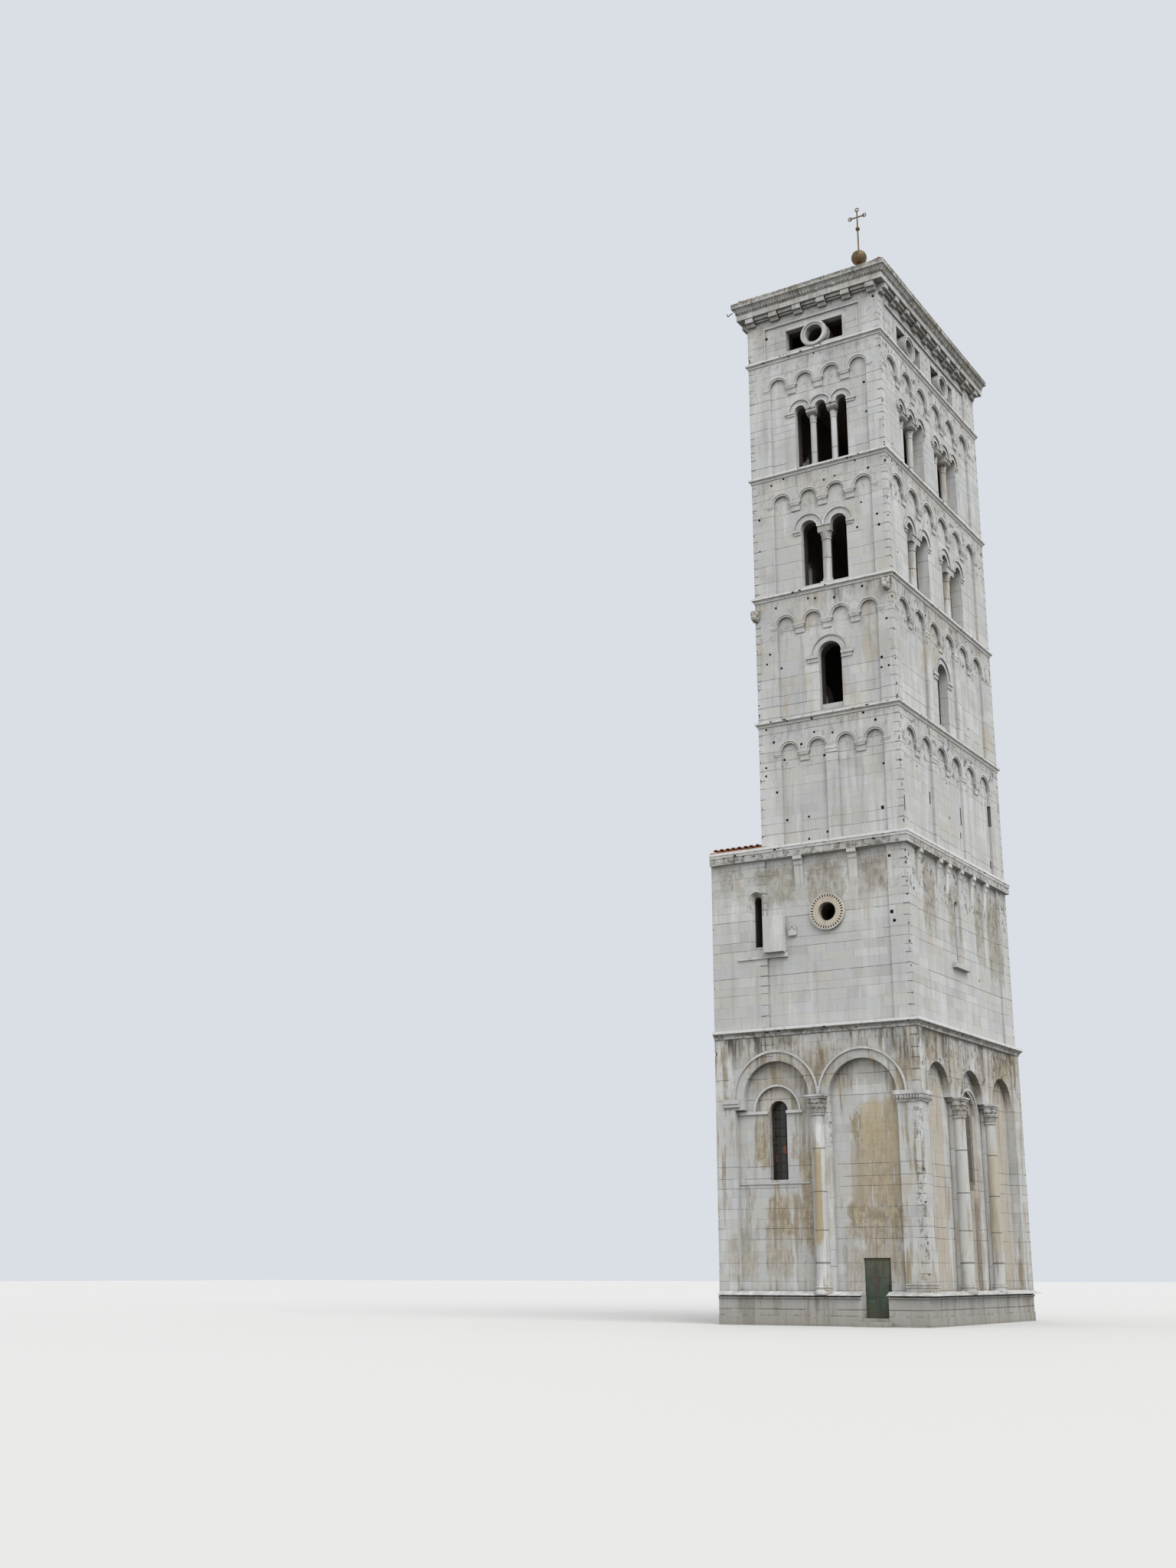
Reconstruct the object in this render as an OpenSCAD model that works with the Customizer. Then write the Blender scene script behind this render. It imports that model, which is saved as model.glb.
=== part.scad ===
// Stone bell tower on a broad base, built of white ashlar in seven storeys.
// The front faces -Y, the long side faces +X and +Z is up. The origin lies on the ground,
// on the axis of the shaft. All sizes are in millimetres, at the real tower's size.

/* [Shaft] */
// Width of the shaft across its front
shaft_w = 4860; // [4600:10:5200]
// Depth of the shaft along its long side
shaft_d = 9160; // [8800:10:9600]
// Thickness of the shaft walls
wall_t = 600; // [450:10:650]
// Depth of the arcaded panels behind the lesenes
panel_d = 84; // [50:1:120]
// Front lesene at the corner near the side
lesene_near_front = 533; // [450:1:650]
// Front lesene at the other corner
lesene_far_front = 785; // [650:1:900]
// Side lesene at the corner near the front
lesene_near_side = 467; // [400:1:600]
// Side lesene at the back corner
lesene_far_side = 1019; // [850:1:1150]

/* [Base] */
// How far the base stands out beyond the shaft on its left
wing_w = 1841; // [1500:1:2200]
// Thickness of the base walls
base_t = 700; // [600:10:800]
// Height of the plinth
plinth_h = 869; // [750:1:950]
// How far the plinth stands proud
plinth_p = 50; // [20:1:90]
// Height of the ground storey up to the first string course
ground_h = 8570; // [8300:10:8900]
// Height of the first string course
string_1_h = 262; // [200:1:320]
// Height of the second storey, with the round window
oculus_h = 5374; // [5100:1:5600]
// Height of the second string course
string_2_h = 392; // [300:1:450]

/* [Storeys] */
// Height of the blind storey
blind_h = 4001; // [3800:1:4200]
// Height of each storey with windows
storey_h = 4159; // [4000:1:4400]
// Height of each upper string course
string_h = 186; // [140:1:220]
// How far the string courses project
string_p = 95; // [60:1:130]
// Height of the attic storey
attic_h = 1404; // [1250:1:1600]
// Thickness of the timber and stone floors
floor_t = 186; // [120:1:220]

/* [Arcades] */
// Radius of the front arcade arches
front_arch_r = 299; // [250:1:340]
// Radius of the side arcade arches
side_arch_r = 449; // [380:1:500]
// From the string course above down to the springing of the arcades
spring_drop = 940; // [800:1:1100]
// Height of the hanging corbels
corbel_h = 336; // [250:1:420]
// Width of the hanging corbels
corbel_w = 411; // [330:1:440]
// Width of the pilasters
pilaster_w = 411; // [300:1:440]

/* [Ground arcade] */
// Depth of the ground arches
ground_panel_d = 234; // [150:1:300]
// Front pier at the party wall
pier_left = 665; // [560:1:760]
// How far inside that pier the first arch springs
arch_inset = 307; // [200:1:350]
// Front pier at the corner
pier_right = 654; // [600:1:750]
// Piers at both ends of the side
pier_side = 740; // [680:1:820]
// Radius of the front arches
ground_front_r = 1110; // [1000:1:1150]
// Radius of the side arches
ground_side_r = 981; // [900:1:1050]
// Springing height of the ground arches
ground_spring = 6700; // [6500:10:6900]
// How much lower the doorway's arch springs
arch_dip = 70; // [0:1:120]
// Width of the flat ring round the front arches
archivolt_w = 270; // [200:1:300]
// Diameter of the half columns
half_column_d = 374; // [300:1:420]

/* [Doorway] */
// Width of the doorway
door_w = 841; // [750:1:950]
// Height of the doorway
door_h = 1691; // [1600:1:1900]
// Height of the threshold over the ground
door_sill = 234; // [150:1:280]
// Doorway axis from the middle of its arch
door_off = 156; // [100:1:200]
// Thickness of the door leaf
leaf_t = 50; // [35:1:65]
// Gap round the leaf
leaf_gap = 8; // [7:1:12]
// Set-back of the leaf behind the arch field
leaf_back = 60; // [30:1:100]
// Radius of the hinge pins
pin_r = 8; // [6:1:9]

/* [Windows] */
// Height of the window sills over each storey's floor line
sill_up = 141; // [60:1:220]
// Height of the three-light windows' sills over their floor line
trifora_sill_up = 50; // [30:1:160]
// Width of the front single window
single_front_w = 800; // [720:1:900]
// Width of the side single window
single_side_w = 935; // [820:1:1050]
// From the string course above down to the springing of the single windows
single_drop = 2149; // [2000:1:2300]
// Radius of the two-light arches
bifora_r = 290; // [250:1:330]
// Distance between the two front lights
bifora_front_pitch = 1056; // [1000:1:1150]
// Distance between the two side lights
bifora_side_pitch = 1300; // [1150:1:1400]
// From the string course above down to the springing of the two-light windows
bifora_drop = 2009; // [1900:1:2150]
// Radius of the three-light arches
trifora_r = 195; // [170:1:230]
// Distance between the three front lights
trifora_front_pitch = 748; // [700:1:800]
// Distance between the three side lights
trifora_side_pitch = 869; // [800:1:950]
// From the string course above down to the springing of the three-light windows
trifora_drop = 1991; // [1900:1:2150]
// Distance of the side windows from the side's middle
side_bay = 1590; // [1500:1:1700]
// Diameter of the two-light colonnettes
bifora_shaft_d = 322; // [240:1:360]
// Diameter of the three-light colonnettes
trifora_shaft_d = 227; // [180:1:260]
// Radius of the round window
oculus_r = 294; // [250:1:340]
// Outer radius of the round window's ring
oculus_ring_r = 580; // [500:1:640]
// Height of the round window's centre
oculus_z = 12318; // [12100:1:12500]
// Number of notches round its ring
ring_notches = 36; // [24:1:48]
// Thickness of the thin mouldings round arches and panels
bead = 45; // [30:1:60]

/* [Attic and cornice] */
// Width of the front attic opening
attic_front_w = 2094; // [1900:1:2300]
// Width of each side attic opening
attic_side_w = 2150; // [1950:1:2350]
// Height of the attic openings
attic_open_h = 785; // [700:1:850]
// Radius of the attic ring's hole
ring_r = 318; // [280:1:350]
// Outer radius of the attic ring
ring_outer_r = 481; // [430:1:520]
// Height of the modillions
modillion_h = 299; // [240:1:340]
// Width of the modillions
modillion_w = 299; // [240:1:340]
// Height of the cornice fascia
fascia_h = 215; // [170:1:260]
// Projection of the cornice fascia
fascia_p = 280; // [230:1:330]
// Height of the crown moulding
crown_h = 421; // [350:1:480]
// Projection of the crown moulding
crown_p = 421; // [360:1:460]

/* [Roof and finial] */
// Rise of the pyramid roof
roof_rise = 3100; // [2800:10:3300]
// Thickness of the roof shell
roof_t = 160; // [120:1:220]
// Rise of the tiled roof over the wing
wing_rise = 760; // [600:10:900]
// Radius of the bronze ball
ball_r = 285; // [250:1:310]
// Diameter of the cross's rod
rod_d = 52; // [44:1:60]
// Height of the cross's arms over the roof's tip
cross_up = 2240; // [2100:10:2300]
// Width across the cross's arms
cross_w = 740; // [650:1:800]

/* [Hidden] */
$fn = 48;
over = 5;

// Levels, from the ground up
z_string_1 = ground_h;
z_oculus = z_string_1 + string_1_h;
z_string_2 = z_oculus + oculus_h;
z_blind = z_string_2 + string_2_h;
z_string_3 = z_blind + blind_h;
z_single = z_string_3 + string_h;
z_string_4 = z_single + storey_h;
z_bifora = z_string_4 + string_h;
z_string_5 = z_bifora + storey_h;
z_trifora = z_string_5 + string_h;
z_string_6 = z_trifora + storey_h;
z_attic = z_string_6 + string_h;
z_modillion = z_attic + attic_h;
z_fascia = z_modillion + modillion_h;
z_crown = z_fascia + fascia_h;
z_roof = z_crown + crown_h;
z_tip = z_roof + roof_rise;
tip_cut = 160;

// Plan of the shaft and of the base
half_w = shaft_w / 2;
half_d = shaft_d / 2;
in_w = half_w - wall_t;
in_d = half_d - wall_t;
base_left = -half_w - wing_w;
base_in_left = base_left + base_t;
base_in_right = half_w - base_t;
base_in_d = half_d - base_t;

// Arcades, as [front, side]
rec_l = [-half_w + lesene_far_front, -half_d + lesene_near_side];
rec_r = [half_w - lesene_near_front, half_d - lesene_far_side];
arc_r = [front_arch_r, side_arch_r];
arc_n = [4, 6];
function arc_pitch(f) = (rec_r[f] - rec_l[f] - 2 * arc_r[f]) / (arc_n[f] - 1);
function arc_u(f, i) = rec_l[f] + arc_r[f] + i * arc_pitch(f);
function gap_u(f, i) = (arc_u(f, i) + arc_u(f, i + 1)) / 2;
blind_pilasters = [[1], [1, 3]];
blind_corbels = [[0, 2], [0, 2, 4]];
single_corbels = [[0, 1, 2], [0, 2, 4]];
lights_corbels = [[0, 1, 2], [0, 1, 2, 3, 4]];

// Ground arcades, as [front, side]
ground_l = [base_left + pier_left + arch_inset, -half_d + pier_side];
ground_r = [half_w - pier_right, half_d - pier_side];
ground_arch_r = [ground_front_r, ground_side_r];
ground_n = [2, 3];
function ground_pitch(f) = (ground_r[f] - ground_l[f] - 2 * ground_arch_r[f]) / (ground_n[f] - 1);
function ground_u(f, i) = ground_l[f] + ground_arch_r[f] + i * ground_pitch(f);
function ground_z(f, i) = ground_spring - (f == 0 && i == 1 ? arch_dip : 0);
ground_caps_h = 329;
door_x = ground_u(0, 1) + door_off;

// Window places along the faces
single_u = [158, -234];
bifora_u = [[110], [-276 - side_bay, -276 + side_bay]];
trifora_u = [[170], [-276 - side_bay, -276 + side_bay]];
attic_u = [[56], [-243 - side_bay, -243 + side_bay]];
attic_z = z_attic + 554;
oculus_u = -243;
ground_window_off = -74;
ground_window_r = 310;
ground_window_sill = 4234;
ground_window_spring = 6315;
lunette_r = 735;
lunette_d = 90;
lancet_u = [-2692, -234];
lancet_r = [125, 135];
lancet_splay_r = [270, 215];
lancet_splay_d = 160;
lancet_sill = [11440, 11206];
lancet_spring = 12935;
lancet_foot = 110;
oculus_panel_l = [-half_w + 84, -half_d + 729];
oculus_panel_r = [half_w - 617, half_d - 935];
oculus_panel_d = 70;
oculus_panel_drop = 28;
strip_places = [[0.281, 0.725], [0.052, 0.278, 0.385, 0.53, 0.682, 0.85]];
strip_w = [300, 270];
strip_h = [1000, 950];
box_reach = 240;
box_w = 670;
box_h = 1160;
box_gap = 16;
attic_panel_l = [-1755, -4045];
attic_panel_r = [1745, 3440];
attic_panel_b = z_attic + 60;
attic_panel_gap = 209;
attic_panel_t = z_modillion - attic_panel_gap;
attic_panel_d = 36;

// Colours
stone = [0.86, 0.85, 0.81];
stone_dark = [0.74, 0.72, 0.66];
tile = [0.60, 0.34, 0.24];
iron = [0.32, 0.32, 0.34];
bronze = [0.62, 0.47, 0.22];
door_green = [0.24, 0.33, 0.29];
timber = [0.52, 0.42, 0.32];

// Face frames: X runs along the face, Y goes into the wall, Z is up
module on_front() {
    translate([0, -half_d, 0])
        children();
}
module on_right() {
    translate([half_w, 0, 0])
        rotate([0, 0, 90])
            children();
}
module on_back() {
    mirror([0, 1, 0])
        on_front() children();
}
module on_left() {
    mirror([1, 0, 0])
        on_right() children();
}

// A flat outline in a face frame, cut to a depth from the face
module cut_in(depth) {
    translate([0, depth, 0])
        rotate([90, 0, 0])
            linear_extrude(depth + over)
                children();
}
// A flat outline in a face frame, laid from one depth to another
module slab_between(from, to) {
    translate([0, to, 0])
        rotate([90, 0, 0])
            linear_extrude(to - from)
                children();
}

// Outlines
module rect(l, r, b, t) {
    translate([l, b])
        square([r - l, t - b]);
}
module arched(u, r, b, spring) {
    union() {
        rect(u - r, u + r, b, spring);
        translate([u, spring])
            circle(r);
    }
}
module arcade_outline(f, b, spring, pilasters) {
    difference() {
        union() {
            rect(rec_l[f], rec_r[f], b, spring);
            for (i = [0:arc_n[f] - 1])
                translate([arc_u(f, i), spring])
                    circle(arc_r[f]);
        }
        for (i = pilasters)
            rect(gap_u(f, i) - pilaster_w / 2, gap_u(f, i) + pilaster_w / 2, b - over, spring);
    }
}
module lights_outline(u, n, pitch, r, b, spring) {
    union() {
        rect(u - (n - 1) * pitch / 2 - r, u + (n - 1) * pitch / 2 + r, b, spring);
        for (i = [0:n - 1])
            translate([u + (i - (n - 1) / 2) * pitch, spring])
                circle(r);
    }
}
module ring_opening(u, w) {
    union() {
        difference() {
            rect(u - w / 2, u + w / 2, attic_z - attic_open_h / 2, attic_z + attic_open_h / 2);
            translate([u, attic_z])
                circle(ring_outer_r);
        }
        translate([u, attic_z])
            circle(ring_r);
    }
}

// What is cut from each face of each storey
module ground_cut(f, b) {
    cut_in(ground_panel_d)
        union() {
            rect(ground_l[f], ground_r[f], b, ground_spring - arch_dip);
            for (i = [0:ground_n[f] - 1])
                arched(ground_u(f, i), ground_arch_r[f], b, ground_z(f, i));
            for (i = [0:ground_n[f] - 2])
                rect(ground_u(f, i), ground_u(f, i + 1), b, ground_spring);
            if (f == 0)
                rect(ground_l[0] - arch_inset, ground_l[0] + over, b, ground_spring - ground_caps_h);
        }
}
module ground_window_cut(f) {
    u = f == 0 ? ground_u(0, 0) + ground_window_off : ground_u(1, 1);
    cut_in(base_t + over)
        arched(u, ground_window_r, ground_window_sill, ground_window_spring);
    cut_in(ground_panel_d + lunette_d)
        intersection() {
            translate([u, ground_window_spring])
                circle(lunette_r);
            rect(u - lunette_r, u + lunette_r, ground_window_spring, ground_window_spring + lunette_r);
        }
}
module oculus_cut(f) {
    cut_in(oculus_panel_d)
        rect(oculus_panel_l[f], oculus_panel_r[f], z_oculus - over, z_string_2 - oculus_panel_drop);
}
module round_window_cut() {
    cut_in(base_t + over)
        translate([oculus_u, oculus_z])
            circle(oculus_r);
}
// A slit with a splayed outer reveal
module lancet_cut(f) {
    u = lancet_u[f];
    r = lancet_r[f];
    wide = lancet_splay_r[f];
    foot = lancet_sill[f] - lancet_foot;
    grow = (wide - r) / lancet_splay_d * over;
    cut_in(base_t + over)
        arched(u, r, lancet_sill[f], lancet_spring);
    translate([u, -over, lancet_spring])
        rotate([-90, 0, 0])
            cylinder(h = lancet_splay_d + over, r1 = wide + grow, r2 = r);
    translate([u, 0, foot])
        linear_extrude(lancet_spring - foot)
            polygon([[-wide - grow, -over], [wide + grow, -over], [r, lancet_splay_d],
                [-r, lancet_splay_d]]);
}
module blind_cut(f) {
    cut_in(panel_d)
        arcade_outline(f, z_blind - over, z_string_3 - spring_drop, blind_pilasters[f]);
}
module single_cut(f) {
    cut_in(panel_d)
        arcade_outline(f, z_single - over, z_string_4 - spring_drop, f == 0 ? [] : [1, 3]);
    cut_in(wall_t + over)
        arched(single_u[f], (f == 0 ? single_front_w : single_side_w) / 2, z_single + sill_up,
            z_string_4 - single_drop);
}
module bifora_cut(f) {
    cut_in(panel_d)
        arcade_outline(f, z_bifora - over, z_string_5 - spring_drop, []);
    for (u = bifora_u[f])
        cut_in(wall_t + over)
            lights_outline(u, 2, f == 0 ? bifora_front_pitch : bifora_side_pitch, bifora_r,
                z_bifora + sill_up, z_string_5 - bifora_drop);
}
module trifora_cut(f) {
    cut_in(panel_d)
        arcade_outline(f, z_trifora - over, z_string_6 - spring_drop, []);
    for (u = trifora_u[f])
        cut_in(wall_t + over)
            lights_outline(u, 3, f == 0 ? trifora_front_pitch : trifora_side_pitch, trifora_r,
                z_trifora + trifora_sill_up, z_string_6 - trifora_drop);
}
module attic_cut(f) {
    cut_in(attic_panel_d)
        rect(attic_panel_l[f], attic_panel_r[f], attic_panel_b, attic_panel_t);
    for (u = attic_u[f])
        cut_in(wall_t + over)
            ring_opening(u, f == 0 ? attic_front_w : attic_side_w);
}
module storey_cut(s, f) {
    if (s == "oculus") oculus_cut(f);
    if (s == "blind") blind_cut(f);
    if (s == "single") single_cut(f);
    if (s == "bifora") bifora_cut(f);
    if (s == "trifora") trifora_cut(f);
    if (s == "attic") attic_cut(f);
}

// Shaft walls: front and back run over the corners, the sides stand between them
module shaft_across(s, z0, z1, back) {
    difference() {
        translate([-half_w, back ? in_d : -half_d, z0])
            cube([shaft_w, wall_t, z1 - z0]);
        if (back) on_back() storey_cut(s, 0);
        else on_front() storey_cut(s, 0);
        on_right() storey_cut(s, 1);
        on_left() storey_cut(s, 1);
    }
}
module shaft_right(s, z0, z1) {
    difference() {
        translate([half_w - wall_t, -in_d, z0])
            cube([wall_t, 2 * in_d, z1 - z0]);
        on_right() storey_cut(s, 1);
    }
}
module shaft_wall(side, s, z0, h) {
    color(stone)
        if (side == "front") shaft_across(s, z0, z0 + h, false);
        else if (side == "back") shaft_across(s, z0, z0 + h, true);
        else if (side == "right") shaft_right(s, z0, z0 + h);
        else mirror([1, 0, 0]) shaft_right(s, z0, z0 + h);
}

// A moulded band round a block: the profile gives [projection, height] pairs from the foot up
function outline_x(l, r, pl, pr, prof, z) = concat(
    [for (p = prof) [r + p[0] * pr, z + p[1]]],
    [for (i = [len(prof) - 1:-1:0]) [l - prof[i][0] * pl, z + prof[i][1]]]);
module band(l, r, d, pl, prof, z) {
    reach = max([for (p = prof) p[0]]) + over;
    intersection() {
        translate([0, d + reach, 0])
            rotate([90, 0, 0])
                linear_extrude(2 * (d + reach))
                    polygon(outline_x(l, r, pl, 1, prof, z));
        rotate([90, 0, 90])
            translate([0, 0, l - reach])
                linear_extrude(r - l + 2 * reach)
                    polygon(outline_x(-d, d, 1, 1, prof, z));
    }
}
string_profile = [[0, 0], [0.25, 0.06], [0.35, 0.3], [0.62, 0.5], [0.9, 0.62], [1, 0.7], [1, 1], [0, 1]];
fascia_share = 0.7;
fascia_profile = [[0, 0], [fascia_share, 0], [fascia_share, 0.52], [0.8, 0.56], [0.8, 0.72],
    [1, 0.8], [1, 1], [0, 1]];
string_2_p = 150;
console_h = 300;
function scaled(prof, p, h) = [for (q = prof) [q[0] * p, q[1] * h]];

module plinth() {
    top = plinth_h;
    prof = [[plinth_p + 20, 0], [plinth_p + 20, 280], [plinth_p, 300], [plinth_p, top - 121],
        [plinth_p + 30, top - 100], [plinth_p + 30, top - 50], [0, top]];
    color(stone_dark)
        difference() {
            band(base_left, half_w, half_d, 0, prof, 0);
            translate([base_in_left, -base_in_d, -over])
                cube([base_in_right - base_in_left, 2 * base_in_d, plinth_h + 2 * over]);
            translate([door_x - door_w / 2, -half_d - 200, -over])
                cube([door_w, base_t + 200 + over, plinth_h + 2 * over]);
        }
}

module door_threshold() {
    color(stone_dark)
        union() {
            translate([door_x - door_w / 2, -half_d - plinth_p, 0])
                cube([door_w, base_t + plinth_p, door_sill]);
            translate([door_x - door_w / 2 - 120, -half_d - plinth_p - 320, 0])
                cube([door_w + 240, 250, 150]);
            translate([door_x - door_w / 2, -half_d - plinth_p - 80, 0])
                cube([door_w, 90, 150]);
        }
}

module ground_front_wall_left() {
    color(stone)
        difference() {
            translate([base_left, -half_d, plinth_h])
                cube([door_x - door_w / 2 - base_left, base_t, z_oculus - plinth_h]);
            on_front() ground_cut(0, plinth_h - over);
            on_front() ground_window_cut(0);
        }
}
module ground_front_wall_right() {
    color(stone)
        difference() {
            translate([door_x + door_w / 2, -half_d, plinth_h])
                cube([half_w - door_x - door_w / 2, base_t, z_oculus - plinth_h]);
            on_front() ground_cut(0, plinth_h - over);
            on_right() ground_cut(1, plinth_h - over);
        }
}
module ground_front_wall_over_door() {
    color(stone)
        difference() {
            translate([door_x - door_w / 2, -half_d, door_sill + door_h])
                cube([door_w, base_t, z_oculus - door_sill - door_h]);
            on_front() ground_cut(0, plinth_h - over);
        }
}
module ground_right_wall() {
    color(stone)
        difference() {
            translate([half_w - base_t, -base_in_d, plinth_h])
                cube([base_t, 2 * base_in_d, z_oculus - plinth_h]);
            on_right() ground_cut(1, plinth_h - over);
            on_right() ground_window_cut(1);
        }
}
module ground_back_wall() {
    color(stone)
        difference() {
            translate([base_left, base_in_d, plinth_h])
                cube([half_w - base_left, base_t, z_oculus - plinth_h]);
            on_back() ground_cut(0, plinth_h - over);
            on_right() ground_cut(1, plinth_h - over);
            on_back() ground_window_cut(0);
        }
}
module party_wall() {
    color(stone_dark)
        translate([base_left, -base_in_d, plinth_h])
            cube([base_t, 2 * base_in_d, z_blind - plinth_h]);
}

// Half columns of the ground arcade: base, shaft, leafy capital and abacus
module half_column(gap) {
    r = half_column_d / 2;
    cap_h = 500;
    base_h = 206;
    abacus_h = 110;
    cap_foot = ground_spring - cap_h - abacus_h;
    intersection() {
        translate([0, ground_panel_d, 0])
            union() {
                translate([0, 0, plinth_h])
                    cylinder(h = base_h * 0.4, r = r * 1.45);
                translate([0, 0, plinth_h])
                    cylinder(h = base_h * 0.7, r = r * 1.3);
                translate([0, 0, plinth_h])
                    cylinder(h = base_h, r = r * 1.12);
                translate([0, 0, plinth_h])
                    cylinder(h = ground_spring - plinth_h, r = r);
                translate([0, 0, cap_foot])
                    cylinder(h = 50, r = r * 1.16);
                translate([0, 0, cap_foot + 50])
                    cylinder(h = cap_h - 50, r1 = r, r2 = r * 1.62);
                translate([-gap / 2, -r * 1.7, ground_spring - abacus_h])
                    cube([gap, r * 1.7, abacus_h * 0.6]);
                translate([-gap / 2, -r * 1.85, ground_spring - abacus_h * 0.4])
                    cube([gap, r * 1.85, abacus_h * 0.4]);
            }
        translate([-gap, -half_column_d, 0])
            cube([2 * gap, ground_panel_d + half_column_d, ground_spring]);
    }
}
// Capital band of a pier, from one place to another along the front and round the corner
module pier_layer(l, p, z, h, side) {
    reach = side > 0 ? half_w + p - l : side_cap_w;
    difference() {
        translate([l, -half_d - p, z])
            cube([reach, (side > 0 ? pier_side : 0) + p, h]);
        translate([-2 * shaft_w, -half_d, z - over])
            cube([2 * shaft_w + half_w, shaft_d, h + 2 * over]);
    }
}
side_cap_w = 549;
side_cap_gap = 286;
module pier_caps() {
    top = ground_spring;
    b = top - ground_caps_h;
    l = ground_r[0] - 120;
    foot_h = 50;
    carved_h = 160;
    notch = 30;
    notch_pitch = 90;
    base_z = plinth_h + 224;
    pier_layer(l + 80, 35, b, foot_h, 1);
    difference() {
        pier_layer(l + 40, 70, b + foot_h, carved_h, 1);
        for (u = [l + 80:notch_pitch:half_w])
            translate([u, -half_d - 75, b + foot_h - over])
                cube([notch, 40, carved_h - 20]);
        for (v = [-half_d + 20:notch_pitch:-half_d + pier_side - notch])
            translate([half_w + 35, v, b + foot_h - over])
                cube([40, notch, carved_h - 20]);
    }
    pier_layer(l, 95, b + foot_h + carved_h, ground_caps_h - foot_h - carved_h, 1);
    pier_layer(base_left + side_cap_gap, 50, b + 70, 120, 0);
    pier_layer(base_left + side_cap_gap, 80, b + 190, ground_caps_h - 190, 0);
    for (k = [0, 1])
        pier_layer(ground_r[0], 30 - 10 * k, base_z + 70 * k, 35, 1);
}
module half_columns() {
    front_gap = ground_pitch(0) - 2 * ground_arch_r[0];
    side_gap = ground_pitch(1) - 2 * ground_arch_r[1];
    color(stone) {
        on_front()
            translate([(ground_u(0, 0) + ground_u(0, 1)) / 2, 0, 0])
                half_column(front_gap);
        on_back()
            translate([(ground_u(0, 0) + ground_u(0, 1)) / 2, 0, 0])
                half_column(front_gap);
        for (i = [0:ground_n[1] - 2])
            on_right()
                translate([(ground_u(1, i) + ground_u(1, i + 1)) / 2, 0, 0])
                    half_column(side_gap);
        pier_caps();
    }
}

module string_ring(z, h, p) {
    difference() {
        band(-half_w, half_w, half_d, 1, scaled(string_profile, p, h), z);
        translate([-half_w, -half_d, z - over])
            cube([shaft_w, shaft_d, h + 2 * over]);
    }
}
module base_ring(z, h, p, prof) {
    difference() {
        band(base_left, half_w, half_d, 0, scaled(prof, p, h), z);
        translate([base_left - over, -half_d, z - over])
            cube([half_w - base_left + over, shaft_d, h + 2 * over]);
    }
}
module string_courses() {
    color(stone_dark) {
        base_ring(z_string_1, string_1_h, string_2_p, string_profile);
        base_ring(z_string_2, string_2_h, string_2_p, fascia_profile);
        string_ring(z_string_3, string_h, string_p);
        string_ring(z_string_4, string_h, string_p);
        string_ring(z_string_5, string_h, string_p);
        string_ring(z_string_6, string_h, string_p);
    }
}

module oculus_front_wall() {
    color(stone)
        difference() {
            translate([base_left, -half_d, z_oculus])
                cube([half_w - base_left, base_t, z_blind - z_oculus]);
            on_front() oculus_cut(0);
            on_right() oculus_cut(1);
            on_front() round_window_cut();
            on_front() lancet_cut(0);
        }
}
module oculus_back_wall() {
    color(stone)
        difference() {
            translate([base_left, base_in_d, z_oculus])
                cube([half_w - base_left, base_t, z_blind - z_oculus]);
            on_back() oculus_cut(0);
            on_right() oculus_cut(1);
            on_back() lancet_cut(0);
        }
}
module oculus_right_wall() {
    color(stone)
        difference() {
            translate([half_w - base_t, -base_in_d, z_oculus])
                cube([base_t, 2 * base_in_d, z_blind - z_oculus]);
            on_right() oculus_cut(1);
            on_right() lancet_cut(1);
        }
}

// Worn strips under the second string course, each with a console at its head
module strip(f, place, w, h) {
    u = oculus_panel_l[f] + place * (oculus_panel_r[f] - oculus_panel_l[f]);
    d = oculus_panel_d;
    top = z_string_2 - oculus_panel_drop;
    reach = string_2_p * fascia_share - 5;
    translate([u - w / 2, 0, 0])
        rotate([90, 0, 90])
            linear_extrude(w)
                polygon([[d, top - h], [d * 0.6, top - h * 0.85], [d * 0.2, top - h * 0.45],
                    [0, top - console_h], [-reach * 0.25, top - console_h * 0.85],
                    [-reach * 0.45, top - console_h * 0.5], [-reach, top - console_h * 0.28],
                    [-reach, z_string_2], [0, z_string_2], [0, top], [d, top]]);
}
module hanging_strips() {
    color(stone) {
        on_front()
            for (p = strip_places[0])
                strip(0, p, strip_w[0], strip_h[0]);
        on_back()
            for (p = strip_places[0])
                strip(0, p, strip_w[0], strip_h[0]);
        on_right()
            for (k = [0:len(strip_places[1]) - 1])
                strip(1, strip_places[1][k], strip_w[1], k == 0 ? strip_h[0] : strip_h[1]);
    }
}

// Mouldings laid on a face
module half_disc(u, spring, r) {
    intersection() {
        translate([u, spring])
            circle(r);
        rect(u - r - over, u + r + over, spring, spring + r + over);
    }
}
module arch_ring(u, spring, r, w) {
    difference() {
        half_disc(u, spring, r + w);
        translate([u, spring])
            circle(r);
    }
}
// A hood over a row of lights, with the moulded imposts it stands on
module light_hoods(u, n, pitch, r, w, spring, impost_w, impost_h) {
    d = panel_d;
    reach = (n - 1) * pitch / 2 + r;
    slab_between(d - bead * 0.5, d)
        for (i = [0:n - 1])
            arch_ring(u + (i - (n - 1) / 2) * pitch, spring, r, bead * 1.3);
    slab_between(d - bead, d)
        for (i = [0:n - 1])
            arch_ring(u + (i - (n - 1) / 2) * pitch, spring, r + w - bead, bead);
    for (side = [-1, 1]) {
        far = u + side * (reach + impost_w);
        near = u + side * reach;
        l = min(near, far);
        m = max(near, far);
        slab_between(d - bead * 1.4, d)
            rect(l, m, spring - impost_h * 0.45, spring);
        slab_between(d - bead * 0.7, d)
            rect(l + (side < 0 ? bead : 0), m - (side > 0 ? bead : 0), spring - impost_h,
                spring - impost_h * 0.45);
    }
}
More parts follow.
